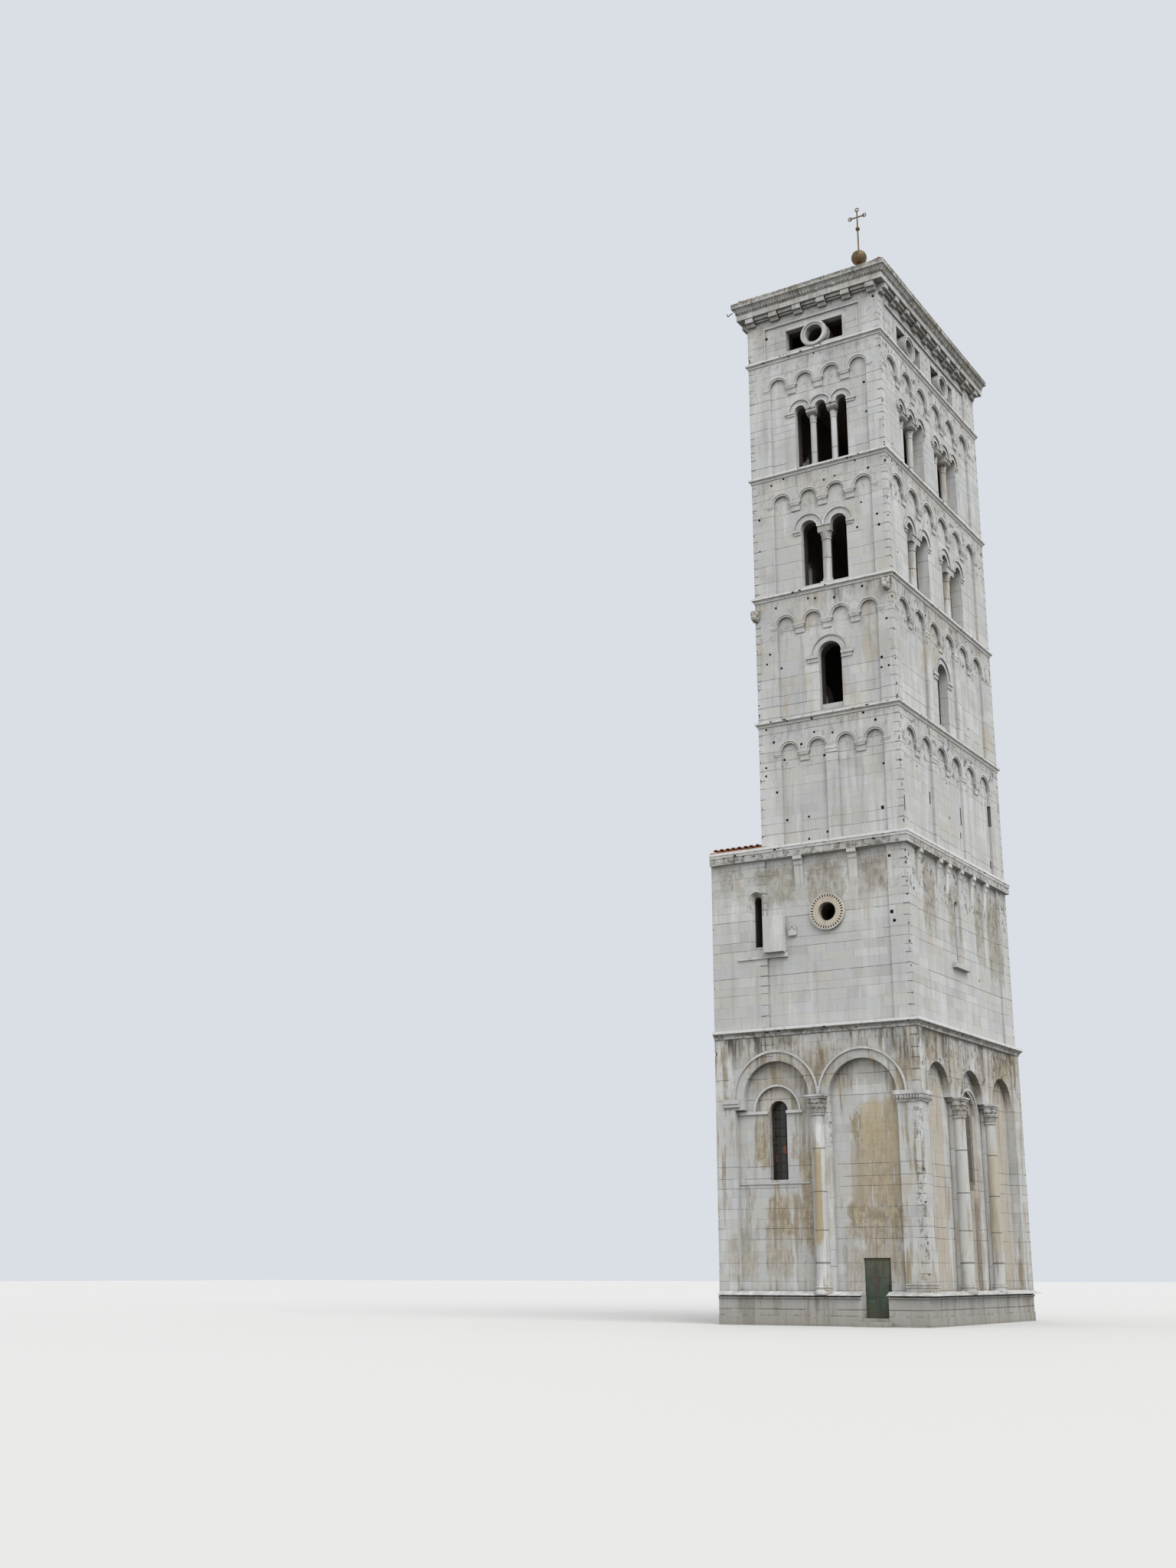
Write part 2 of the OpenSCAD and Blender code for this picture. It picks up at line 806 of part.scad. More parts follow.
module face_hoods(f) {
    single_w = f == 0 ? single_front_w : single_side_w;
    light_hoods(single_u[f], 1, 0, single_w / 2, 250, z_string_4 - single_drop,
        f == 0 ? 430 : 400, 230);
    for (u = bifora_u[f])
        light_hoods(u, 2, f == 0 ? bifora_front_pitch : bifora_side_pitch, bifora_r, 258,
            z_string_5 - bifora_drop, f == 0 ? 280 : 240, 168);
    for (u = trifora_u[f])
        light_hoods(u, 3, f == 0 ? trifora_front_pitch : trifora_side_pitch, trifora_r, 236,
            z_string_6 - trifora_drop, f == 0 ? 360 : 200, 150);
    // Sill block of the single window, set back in the wall
    slab_between(wall_t * 0.3, wall_t)
        rect(single_u[f] - single_w / 2, single_u[f] + single_w / 2, z_single + sill_up,
            z_single + sill_up + 190);
}
// Thin frames of the attic's sunk panels and the rings between its openings
module attic_mouldings(f) {
    l = attic_panel_l[f];
    r = attic_panel_r[f];
    b = attic_panel_b;
    t = attic_panel_t;
    slab_between(-bead * 0.5, 0)
        difference() {
            rect(l - bead, r + bead, b, t + bead);
            rect(l, r, b - over, t);
        }
    for (u = attic_u[f]) {
        slab_between(0, attic_panel_d)
            difference() {
                translate([u, attic_z])
                    circle(ring_outer_r);
                translate([u, attic_z])
                    circle(ring_r);
            }
        slab_between(-bead * 0.8, 0)
            difference() {
                translate([u, attic_z])
                    circle(ring_outer_r - bead * 0.7);
                translate([u, attic_z])
                    circle(ring_outer_r - bead * 2);
            }
    }
}
// Ring of the round window, with its worn notches
module round_ring() {
    slab_between(-bead * 0.8, oculus_panel_d)
        translate([oculus_u, oculus_z])
            difference() {
                circle(oculus_ring_r);
                circle(oculus_r);
                for (i = [0:ring_notches - 1])
                    rotate([0, 0, 360 * (i + 0.5) / ring_notches])
                        translate([oculus_ring_r * 0.8, -oculus_ring_r * 0.03])
                            square([oculus_ring_r * 0.14, oculus_ring_r * 0.06]);
            }
}
// Stone box, shelf and gabled relief beside the front slit
module front_stones() {
    r = oculus_panel_l[0] - box_gap + box_w;
    l = r - box_w;
    shelf = 150;
    b = lancet_sill[0] - lancet_foot - shelf;
    ledge_w = 1000;
    gable_w = 270;
    gable_h = 385;
    gable_eaves = 200;
    gable_gap = 100;
    gable_up = 500;
    slab_between(-box_reach, 0)
        rect(l, r, b, b + box_h);
    slab_between(0, oculus_panel_d)
        rect(oculus_panel_l[0], r, b, b + box_h);
    slab_between(-bead, 0)
        rect(l, r + bead, b - shelf, b);
    slab_between(0, oculus_panel_d)
        rect(oculus_panel_l[0], r + bead, b - shelf, b);
    slab_between(-bead, 0)
        rect(l - ledge_w, l, b - shelf, b - shelf / 2);
    slab_between(0, oculus_panel_d)
        translate([r + gable_gap, b + gable_up])
            polygon([[0, 0], [gable_w, 0], [gable_w, gable_eaves], [gable_w / 2, gable_h],
                [0, gable_eaves]]);
    slab_between(-bead * 0.6, 0)
        translate([r + gable_gap, b + gable_up])
            polygon([[0, gable_eaves], [bead, gable_eaves], [gable_w / 2, gable_h - bead * 1.5],
                [gable_w - bead, gable_eaves], [gable_w, gable_eaves], [gable_w / 2, gable_h]]);
}
// Ring round the front ground arches, the lunette's rim and the thin ledges of the field
module ground_mouldings() {
    for (i = [0:ground_n[0] - 1])
        slab_between(-bead, 0)
            difference() {
                arch_ring(ground_u(0, i), ground_z(0, i), ground_front_r + archivolt_w, bead * 1.6);
                rect(base_left, half_w, ground_z(0, i) - over, ground_spring);
            }
    u = ground_u(0, 0) + ground_window_off;
    d = ground_panel_d;
    z = ground_window_spring;
    slab_between(d - bead, d)
        arch_ring(u, z, lunette_r, bead * 1.4);
    for (side = [-1, 1])
        slab_between(d - bead * 1.4, d)
            rect(side < 0 ? ground_l[0] - arch_inset : u + ground_window_r,
                side < 0 ? u - ground_window_r : u + lunette_r + bead * 3, z - bead * 2, z);
    slab_between(d - bead * 0.7, d)
        rect(ground_l[0] - arch_inset, u + lunette_r + 300, ground_window_sill - bead * 2.8,
            ground_window_sill - bead * 1.8);
}
module window_surrounds() {
    color(stone) {
        on_front() {
            round_ring();
            front_stones();
            ground_mouldings();
        }
        on_right() {
            slab_between(ground_panel_d - bead, ground_panel_d)
                arch_ring(ground_u(1, 1), ground_window_spring, lunette_r, bead * 1.4);
            slab_between(-bead * 2, oculus_panel_d)
                rect(lancet_u[1] - 630, lancet_u[1] + 630, lancet_sill[1] - lancet_foot - 230,
                    lancet_sill[1] - lancet_foot - 80);
        }
        on_front() face_hoods(0);
        on_right() face_hoods(1);
        on_back() face_hoods(0);
        on_left() face_hoods(1);
        on_front() attic_mouldings(0);
        on_right() attic_mouldings(1);
        on_back() attic_mouldings(0);
        on_left() attic_mouldings(1);
    }
}

// Low tiled roof over the wing, against the shaft
module wing_roof() {
    eave = 60;
    color(tile)
        translate([base_left, 0, z_blind])
            rotate([90, 0, 90])
                linear_extrude(wing_w)
                    polygon([[-half_d - eave, 0], [-half_d - eave, eave], [0, wing_rise],
                        [half_d + eave, eave], [half_d + eave, 0]]);
}

module blind_front_wall() { shaft_wall("front", "blind", z_blind, blind_h + string_h); }
module blind_right_wall() { shaft_wall("right", "blind", z_blind, blind_h + string_h); }
module blind_back_wall() { shaft_wall("back", "blind", z_blind, blind_h + string_h); }
module blind_left_wall() { shaft_wall("left", "blind", z_blind, blind_h + string_h); }
module single_front_wall() { shaft_wall("front", "single", z_single, storey_h + string_h); }
module single_right_wall() { shaft_wall("right", "single", z_single, storey_h + string_h); }
module single_back_wall() { shaft_wall("back", "single", z_single, storey_h + string_h); }
module single_left_wall() { shaft_wall("left", "single", z_single, storey_h + string_h); }
module bifora_front_wall() { shaft_wall("front", "bifora", z_bifora, storey_h + string_h); }
module bifora_right_wall() { shaft_wall("right", "bifora", z_bifora, storey_h + string_h); }
module bifora_back_wall() { shaft_wall("back", "bifora", z_bifora, storey_h + string_h); }
module bifora_left_wall() { shaft_wall("left", "bifora", z_bifora, storey_h + string_h); }
module trifora_front_wall() { shaft_wall("front", "trifora", z_trifora, storey_h + string_h); }
module trifora_right_wall() { shaft_wall("right", "trifora", z_trifora, storey_h + string_h); }
module trifora_back_wall() { shaft_wall("back", "trifora", z_trifora, storey_h + string_h); }
module trifora_left_wall() { shaft_wall("left", "trifora", z_trifora, storey_h + string_h); }
module attic_front_wall() { shaft_wall("front", "attic", z_attic, attic_h); }
module attic_right_wall() { shaft_wall("right", "attic", z_attic, attic_h); }
module attic_back_wall() { shaft_wall("back", "attic", z_attic, attic_h); }
module attic_left_wall() { shaft_wall("left", "attic", z_attic, attic_h); }

// Hanging corbels between the arches, set on the panel under the spandrels
module corbel(u, spring) {
    h = corbel_h;
    d = panel_d;
    slab = h * 0.16;
    inset = corbel_w * 0.06;
    translate([u - corbel_w / 2, 0, spring - slab])
        translate([0, -18, 0])
            cube([corbel_w, d + 18, slab]);
    translate([u - corbel_w / 2 + inset, 0, spring - 2 * slab])
        translate([0, -6, 0])
            cube([corbel_w - 2 * inset, d + 6, slab]);
    translate([u - corbel_w / 2 + 2 * inset, 0, spring - h])
        rotate([90, 0, 90])
            linear_extrude(corbel_w - 4 * inset)
                polygon([[d, 0], [d * 0.7, 0], [d * 0.55, h * 0.08], [d * 0.52, h * 0.3],
                    [d * 0.34, h * 0.48], [d * 0.08, h * 0.56], [0, h * 0.62], [0, h - 2 * slab],
                    [d, h - 2 * slab]]);
}
// Thin roll over each arch and the moulded caps it ends on
module arcade_rolls(f, spring, pilasters) {
    r = arc_r[f] + bead * 1.4;
    cap_w = bead * 5;
    cap_h = bead * 2.4;
    slab_between(-bead * 0.5, 0)
        for (i = [0:arc_n[f] - 1])
            arch_ring(arc_u(f, i), spring, r, bead);
    for (side = [-1, 1]) {
        edge = side < 0 ? rec_l[f] : rec_r[f];
        l = min(edge, edge + side * cap_w);
        slab_between(-bead * 0.6, 0)
            rect(l, l + cap_w, spring - cap_h / 2, spring);
        slab_between(-bead * 0.3, 0)
            rect(l + bead * 0.4, l + cap_w - bead * 0.4, spring - cap_h, spring - cap_h / 2);
    }
    for (i = pilasters) {
        l = gap_u(f, i) - pilaster_w / 2;
        slab_between(-bead * 0.6, 0)
            rect(l, l + pilaster_w, spring - cap_h, spring);
        slab_between(-bead * 0.3, 0)
            rect(l, l + pilaster_w, spring - 2 * cap_h, spring - cap_h);
    }
}
// Carved head under the fourth string course: a block with a rounded brow
module corner_head(u, drop) {
    w = 190;
    h = 330;
    brow_r = 99;
    translate([u - w / 2, 0, z_string_4 - drop]) {
        translate([0, -brow_r, 0])
            cube([w, brow_r, h * 0.7]);
        translate([0, -brow_r - 0.5, h * 0.7])
            rotate([0, 90, 0])
                cylinder(h = w, r = brow_r);
    }
}
module face_arcades(f) {
    for (i = blind_corbels[f])
        corbel(gap_u(f, i), z_string_3 - spring_drop);
    for (i = single_corbels[f])
        corbel(gap_u(f, i), z_string_4 - spring_drop);
    for (i = lights_corbels[f]) {
        corbel(gap_u(f, i), z_string_5 - spring_drop);
        corbel(gap_u(f, i), z_string_6 - spring_drop);
    }
    arcade_rolls(f, z_string_3 - spring_drop, blind_pilasters[f]);
    arcade_rolls(f, z_string_4 - spring_drop, f == 0 ? [] : blind_pilasters[f]);
    arcade_rolls(f, z_string_5 - spring_drop, []);
    arcade_rolls(f, z_string_6 - spring_drop, []);
}
module arcade_corbels() {
    color(stone) {
        on_front() {
            face_arcades(0);
            corner_head(half_w - 180, 430);
            corner_head(-half_w + 40, 620);
        }
        on_right() face_arcades(1);
        on_back() face_arcades(0);
        on_left() face_arcades(1);
    }
}

// A colonnette with its base, bell capital and the crutch block that carries the wall
module colonnette(u, sill, spring, r, crutch_w) {
    crutch_h = 200;
    cap_h = 260;
    base_h = 170;
    mid = (wall_t + panel_d) / 2;
    crutch_d = wall_t - panel_d - 60;
    top = spring - crutch_h;
    translate([u, mid, 0]) {
        translate([-r * 1.25, -r * 1.25, sill])
            cube([2.5 * r, 2.5 * r, base_h * 0.4]);
        translate([0, 0, sill])
            cylinder(h = base_h, r = r * 1.18);
        translate([0, 0, sill])
            cylinder(h = top - sill, r = r);
        translate([0, 0, top - cap_h])
            cylinder(h = cap_h * 0.15, r = r * 1.15);
        translate([0, 0, top - cap_h * 0.85])
            cylinder(h = cap_h * 0.85, r1 = r, r2 = r * 1.35);
        translate([crutch_w / 2, 0, top])
            rotate([90, 0, -90])
                linear_extrude(crutch_w)
                    polygon([[-r * 1.3, 0], [r * 1.3, 0], [crutch_d / 2, crutch_h * 0.55],
                        [crutch_d / 2, crutch_h], [-crutch_d / 2, crutch_h],
                        [-crutch_d / 2, crutch_h * 0.55]]);
    }
}
module face_colonnettes(f) {
    b_pitch = f == 0 ? bifora_front_pitch : bifora_side_pitch;
    t_pitch = f == 0 ? trifora_front_pitch : trifora_side_pitch;
    for (u = bifora_u[f])
        colonnette(u, z_bifora + sill_up, z_string_5 - bifora_drop, bifora_shaft_d / 2,
            b_pitch - 2 * bifora_r);
    for (u = trifora_u[f], k = [-0.5, 0.5])
        colonnette(u + k * t_pitch, z_trifora + trifora_sill_up, z_string_6 - trifora_drop,
            trifora_shaft_d / 2, t_pitch - 2 * trifora_r);
}
module colonnettes() {
    color(stone) {
        on_front() face_colonnettes(0);
        on_right() face_colonnettes(1);
        on_back() face_colonnettes(0);
        on_left() face_colonnettes(1);
    }
}

// Scrolled brackets under the cornice
module modillion(u) {
    h = modillion_h;
    p = fascia_p - 30;
    translate([u - modillion_w / 2, 0, z_modillion])
        rotate([90, 0, 90])
            linear_extrude(modillion_w)
                polygon([[0, 0], [-p * 0.22, 0], [-p * 0.4, h * 0.08], [-p * 0.5, h * 0.25],
                    [-p * 0.55, h * 0.42], [-p * 0.8, h * 0.45], [-p * 0.97, h * 0.55], [-p, h * 0.72],
                    [-p, h], [0, h]]);
}
module cornice_modillions() {
    n_front = 6;
    n_side = 10;
    reach_w = half_w - 187;
    reach_d = half_d - 240;
    color(stone_dark) {
        for (k = [0:n_front - 1]) {
            on_front() modillion(-reach_w + 2 * reach_w * k / (n_front - 1));
            on_back() modillion(-reach_w + 2 * reach_w * k / (n_front - 1));
        }
        for (k = [0:n_side - 1]) {
            on_right() modillion(-reach_d + 2 * reach_d * k / (n_side - 1));
            on_left() modillion(-reach_d + 2 * reach_d * k / (n_side - 1));
        }
    }
}

module crown_cornice() {
    f = fascia_p;
    c = crown_p;
    z1 = modillion_h;
    z2 = z1 + fascia_h;
    prof = [[0, 0], [0, z1], [f, z1], [f, z2], [f + (c - f) * 0.2, z2 + crown_h * 0.08],
        [f + (c - f) * 0.3, z2 + crown_h * 0.3], [f + (c - f) * 0.65, z2 + crown_h * 0.48],
        [c, z2 + crown_h * 0.55], [c, z2 + crown_h * 0.94], [c - 25, z2 + crown_h]];
    color(stone_dark)
        difference() {
            band(-half_w, half_w, half_d, 1, prof, z_modillion);
            translate([-in_w, -in_d, z_modillion - over])
                cube([2 * in_w, 2 * in_d, z_roof - z_modillion + 2 * over]);
        }
}

// A pyramid with the given half sizes and height
module pyramid(a, b, h) {
    intersection() {
        translate([0, b, 0])
            rotate([90, 0, 0])
                linear_extrude(2 * b)
                    polygon([[-a, 0], [a, 0], [0, h]]);
        translate([-a, 0, 0])
            rotate([90, 0, 90])
                linear_extrude(2 * a)
                    polygon([[-b, 0], [b, 0], [0, h]]);
    }
}
module tower_roof() {
    a = half_w + crown_p - 180;
    b = half_d + crown_p - 180;
    color(tile)
        difference() {
            translate([0, 0, z_roof])
                pyramid(a, b, roof_rise);
            translate([0, 0, z_roof - over])
                pyramid(in_w, in_w * b / a, in_w * roof_rise / a - roof_t);
            translate([-half_w, -half_d, z_tip - tip_cut])
                cube([shaft_w, shaft_d, tip_cut + over]);
        }
}

module storey_floors() {
    color(timber) {
        translate([base_in_left, -base_in_d, 0])
            cube([base_in_right - base_in_left, 2 * base_in_d, door_sill - 20]);
        translate([base_in_left, -base_in_d, z_string_1])
            cube([base_in_right - base_in_left, 2 * base_in_d, string_1_h]);
        translate([base_in_left, -base_in_d, z_string_2])
            cube([base_in_right - base_in_left, 2 * base_in_d, string_2_h]);
        for (z = [z_string_3, z_string_4, z_string_5, z_string_6])
            translate([-in_w, -in_d, z + string_h - floor_t])
                cube([2 * in_w, 2 * in_d, floor_t]);
    }
}

// Bronze ball, rod, knob and iron cross on the roof's tip
module finial() {
    neck_h = 240;
    ball_z = z_tip + neck_h + ball_r * 0.95;
    knob_up = 1230;
    knob_z = ball_z + knob_up;
    arm_z = z_tip + cross_up;
    ring_out = 85;
    bar = 36;
    color(bronze) {
        translate([0, 0, z_tip - tip_cut])
            cylinder(h = tip_cut + 40, r = 130);
        translate([0, 0, z_tip])
            cylinder(h = neck_h + 40, r = 70);
        translate([0, 0, ball_z])
            sphere(ball_r);
    }
    color(iron) {
        translate([0, 0, ball_z])
            cylinder(h = arm_z - ball_z + cross_w / 2 - ring_out, r = rod_d / 2);
        translate([0, 0, knob_z])
            sphere(81);
        translate([-cross_w / 2 + ring_out, -bar / 2, arm_z - bar / 2])
            cube([cross_w - 2 * ring_out, bar, bar]);
        for (p = [[-1, 0], [1, 0], [0, 1]])
            translate([p[0] * (cross_w / 2 - ring_out), 0, arm_z + p[1] * (cross_w / 2 - ring_out + 25)])
                rotate([90, 0, 0])
                    rotate_extrude()
                        translate([ring_out - bar / 2, 0])
                            circle(bar / 2, $fn = 24);
    }
}

// Door leaf on two pins at its left jamb, opening inwards
leaf_l = door_x - door_w / 2 + leaf_gap;
leaf_w = door_w - 2 * leaf_gap;
leaf_y = -half_d + ground_panel_d + leaf_back;
leaf_z = door_sill + leaf_gap;
leaf_h = door_h - 2 * leaf_gap;
pin_x = door_x - door_w / 2 + 20;
pin_y = leaf_y + leaf_t + 12;
pin_gap = 0.3;
knuckle_h = 60;
hinge_levels = [leaf_z + 240, leaf_z + leaf_h - 240];

module door() {
    color(door_green)
        difference() {
            union() {
                translate([leaf_l, leaf_y, leaf_z])
                    cube([leaf_w, leaf_t, leaf_h]);
                for (z = hinge_levels) {
                    translate([pin_x, pin_y, z])
                        cylinder(h = knuckle_h, r = pin_r + 4);
                    translate([pin_x, pin_y - 12, z])
                        cube([460, 6, knuckle_h]);
                }
            }
            for (z = hinge_levels)
                translate([pin_x, pin_y, z - over])
                    cylinder(h = knuckle_h + 2 * over, r = pin_r + pin_gap);
        }
}
module door_hinges() {
    plate = 12;
    color(iron)
        for (z = hinge_levels) {
            translate([pin_x, pin_y, z - plate - 1])
                cylinder(h = knuckle_h + 2 * plate + 2, r = pin_r);
            for (zz = [z - plate - 1, z + knuckle_h + 1])
                translate([door_x - door_w / 2, pin_y - 6, zz])
                    cube([26, 12, plate]);
        }
}

plinth();
door_threshold();
ground_front_wall_left();
ground_front_wall_right();
ground_front_wall_over_door();
ground_right_wall();
ground_back_wall();
party_wall();
half_columns();
string_courses();
oculus_front_wall();
oculus_right_wall();
oculus_back_wall();
hanging_strips();
window_surrounds();
wing_roof();
blind_front_wall();
blind_right_wall();
blind_back_wall();
blind_left_wall();
single_front_wall();
single_right_wall();
single_back_wall();
single_left_wall();
bifora_front_wall();
bifora_right_wall();
bifora_back_wall();
bifora_left_wall();
trifora_front_wall();
trifora_right_wall();
trifora_back_wall();
trifora_left_wall();
attic_front_wall();
attic_right_wall();
attic_back_wall();
attic_left_wall();
arcade_corbels();
colonnettes();
cornice_modillions();
crown_cornice();
tower_roof();
storey_floors();
finial();
door();
door_hinges();
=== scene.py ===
import bmesh
import bpy
import math
import random
from mathutils import Matrix, Vector


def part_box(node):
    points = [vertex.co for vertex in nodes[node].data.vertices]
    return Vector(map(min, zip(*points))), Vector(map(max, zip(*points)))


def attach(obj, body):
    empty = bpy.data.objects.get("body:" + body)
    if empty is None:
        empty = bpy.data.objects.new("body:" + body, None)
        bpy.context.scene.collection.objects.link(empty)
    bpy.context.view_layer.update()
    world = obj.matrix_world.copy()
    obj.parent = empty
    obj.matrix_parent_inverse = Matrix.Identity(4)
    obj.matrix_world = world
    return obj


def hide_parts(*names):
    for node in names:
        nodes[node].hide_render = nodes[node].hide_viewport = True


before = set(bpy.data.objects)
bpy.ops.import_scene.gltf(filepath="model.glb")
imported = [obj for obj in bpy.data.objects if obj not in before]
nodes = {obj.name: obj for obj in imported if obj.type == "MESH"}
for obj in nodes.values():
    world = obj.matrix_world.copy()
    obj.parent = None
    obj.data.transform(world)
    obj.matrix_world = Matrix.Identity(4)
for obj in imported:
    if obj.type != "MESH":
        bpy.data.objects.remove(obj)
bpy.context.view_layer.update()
dice = random.Random(1143)
print("frame loaded")


# one socket of a material's nodes, so that masks can be written as sums
class Wire:
    def __init__(self, finish, socket):
        self.finish = finish
        self.socket = socket

    def math(self, operation, *values):
        return self.finish.node("Math", {"operation": operation}, dict(enumerate(values)))

    def __add__(self, other):
        return self.math("ADD", self, other)

    def __radd__(self, other):
        return self.math("ADD", other, self)

    def __sub__(self, other):
        return self.math("SUBTRACT", self, other)

    def __rsub__(self, other):
        return self.math("SUBTRACT", other, self)

    def __mul__(self, other):
        return self.math("MULTIPLY", self, other)

    def __rmul__(self, other):
        return self.math("MULTIPLY", other, self)

    def __truediv__(self, other):
        return self.math("DIVIDE", self, other)

    def __pow__(self, other):
        return self.math("POWER", self, other)

    def __gt__(self, other):
        return self.math("GREATER_THAN", self, other)

    def __lt__(self, other):
        return self.math("LESS_THAN", self, other)

    def __abs__(self):
        return self.math("ABSOLUTE", self)

    def whole(self):
        return self.math("FLOOR", self)

    def part(self):
        return self.math("FRACT", self)

    def least(self, other):
        return self.math("MINIMUM", self, other)

    def most(self, other):
        return self.math("MAXIMUM", self, other)

    # 0 below low, 1 above high, soft between
    def rise(self, low, high):
        return self.finish.node("MapRange", {"interpolation_type": "SMOOTHSTEP"},
                                {"Value": self, "From Min": low, "From Max": high})


# a material under construction: its shades are laid over each other one by one
class Finish:
    def __init__(self, name):
        self.material = bpy.data.materials.new(name)
        self.material.use_nodes = True
        self.tree = self.material.node_tree
        self.spot = self.node("TexCoord", out="Object")
        self.x, self.y, self.z = self.split(self.spot)
        self.nx, self.ny, self.nz = self.split(self.node("NewGeometry", out="Normal"))

    def node(self, kind, settings=None, sockets=None, out=0):
        made = self.tree.nodes.new("ShaderNode" + kind)
        for key, value in (settings or {}).items():
            setattr(made, key, value)
        for key, value in (sockets or {}).items():
            if isinstance(value, Wire):
                self.tree.links.new(value.socket, made.inputs[key])
            else:
                made.inputs[key].default_value = value
        return Wire(self, made.outputs[out])

    def split(self, vector):
        made = self.tree.nodes.new("ShaderNodeSeparateXYZ")
        self.tree.links.new(vector.socket, made.inputs[0])
        return [Wire(self, made.outputs[i]) for i in range(3)]

    def place(self, x, y, z):
        return self.node("CombineXYZ", {}, {0: x, 1: y, 2: z})

    def noise(self, vector, scale, detail=3, roughness=0.55, distortion=0):
        return self.node("TexNoise", {}, {"Vector": vector, "Scale": scale, "Detail": detail,
                                          "Roughness": roughness, "Distortion": distortion})

    # noise that is drawn out up and down the walls
    def drawn(self, across, upright, shift, detail, roughness=0.55, distortion=0):
        spot = self.place(self.x * across, self.y * across, self.z * upright + shift)
        return self.noise(spot, 1, detail, roughness, distortion)

    def chance(self, x, y=0, z=0):
        return self.node("TexWhiteNoise", {}, {"Vector": self.place(x, y, z)})

    def mix(self, share, first, second):
        first = (*first, 1) if isinstance(first, tuple) else first
        second = (*second, 1) if isinstance(second, tuple) else second
        return self.node("Mix", {"data_type": "RGBA"}, {0: share, 6: first, 7: second}, 2)

    def over(self, share, shade):
        self.colour = self.mix(share, self.colour, shade)

    # how open a point is within reach; the darkening laid where it is shut in is painted shade
    def cover(self, reach):
        return self.node("AmbientOcclusion", {"samples": 6}, {"Distance": reach}, "AO")

    # 1 where the eye looks, straight or by way of glass and mirrors
    def looked(self):
        kinds = [self.node("LightPath", out="Is " + kind + " Ray")
                 for kind in ("Camera", "Glossy", "Transmission")]
        return kinds[0].most(kinds[1]).most(kinds[2])

    def done(self, roughness, height=None, metallic=0, depth=0.01, strength=0.6):
        shader = self.tree.nodes["Principled BSDF"]
        for name, value in (("Base Color", self.colour), ("Roughness", roughness), ("Metallic", metallic)):
            if isinstance(value, Wire):
                self.tree.links.new(value.socket, shader.inputs[name])
            else:
                shader.inputs[name].default_value = value
        if height is not None:
            bump = self.node("Bump", {}, {"Strength": strength, "Distance": depth, "Height": height})
            self.tree.links.new(bump.socket, shader.inputs["Normal"])
        return self.material


# the walls' planes and the two levels above which their left end steps in
wall = {
    "halfWidth": 2.43, "halfDepth": 4.58, "baseLeft": -4.271, "shaftFrom": 14.3, "upperStringFrom": 14.6}
# the round window, whose reveal is painted dark as painted shade
roundWindow = {"x": -0.246, "z": 12.32, "reveal": 0.285}
# the right ground window's reveal, whose jambs are painted dark: painted shade
rightReveal = {"from": 1.9, "to": 2.262, "halfWide": 0.5, "low": 4.15, "high": 6.9}

# stone of the walls and mouldings; every storey has its own mix. The settings for the inside, for
# undersides, for creases and for jambs paint shade into the colour, and the soot colour serves for soot and
# for painted shade alike
stoneLook = {
    "course": 0.305, "block": 0.78, "joint": 0.008, "seed": 0, "open": 0.2, "upright": 0.3,
    "jointShade": 0.75, "cool": (0.475, 0.485, 0.49), "warm": (0.50, 0.495, 0.465),
    "washed": (0.66, 0.665, 0.66), "sootAndShade": (0.085, 0.082, 0.072), "stain": (0.40, 0.31, 0.175),
    "moss": (0.04, 0.043, 0.022), "stainLow": (0.275, 0.25, 0.20), "stainHigh": (0.38, 0.355, 0.30),
    "inside": (0.028, 0.022, 0.018), "wash": 0.45, "blotch": 0.3, "ochre": 0.12, "runOchre": 0,
    "streak": 0.3, "cornerStain": 0, "tops": (), "drip": 0.35, "dripReach": 0.6, "tufts": 0.8,
    "splash": 0, "spots": 1, "crevice": 0.55, "under": 0.8, "mossy": 0.9, "jamb": 0, "darkBands": (),
    "paleBands": (), "patches": (), "washesOf": (), "stripes": (), "ring": False,
    "insideBox": (-1.95, 1.95, 4.28)}
# the soffit, roll, jamb and inside shades are painted shade; the others are stains, runs and tones of the
# stone
shades = {
    "dull": (0.33, 0.325, 0.30), "blotch": (0.29, 0.29, 0.28), "ochreRun": (0.30, 0.225, 0.125),
    "stainRun": (0.17, 0.14, 0.10), "ring": (0.50, 0.43, 0.345), "corner": (0.12, 0.085, 0.055),
    "streak": (0.23, 0.22, 0.195), "drip": (0.20, 0.155, 0.095), "splash": (0.235, 0.215, 0.17),
    "joint": (0.10, 0.092, 0.08), "paintedSoffitShade": (0.12, 0.108, 0.085), "roll": (0.15, 0.14, 0.12),
    "jamb": (0.125, 0.108, 0.085), "paintedInsideShade": (0.05, 0.038, 0.03)}


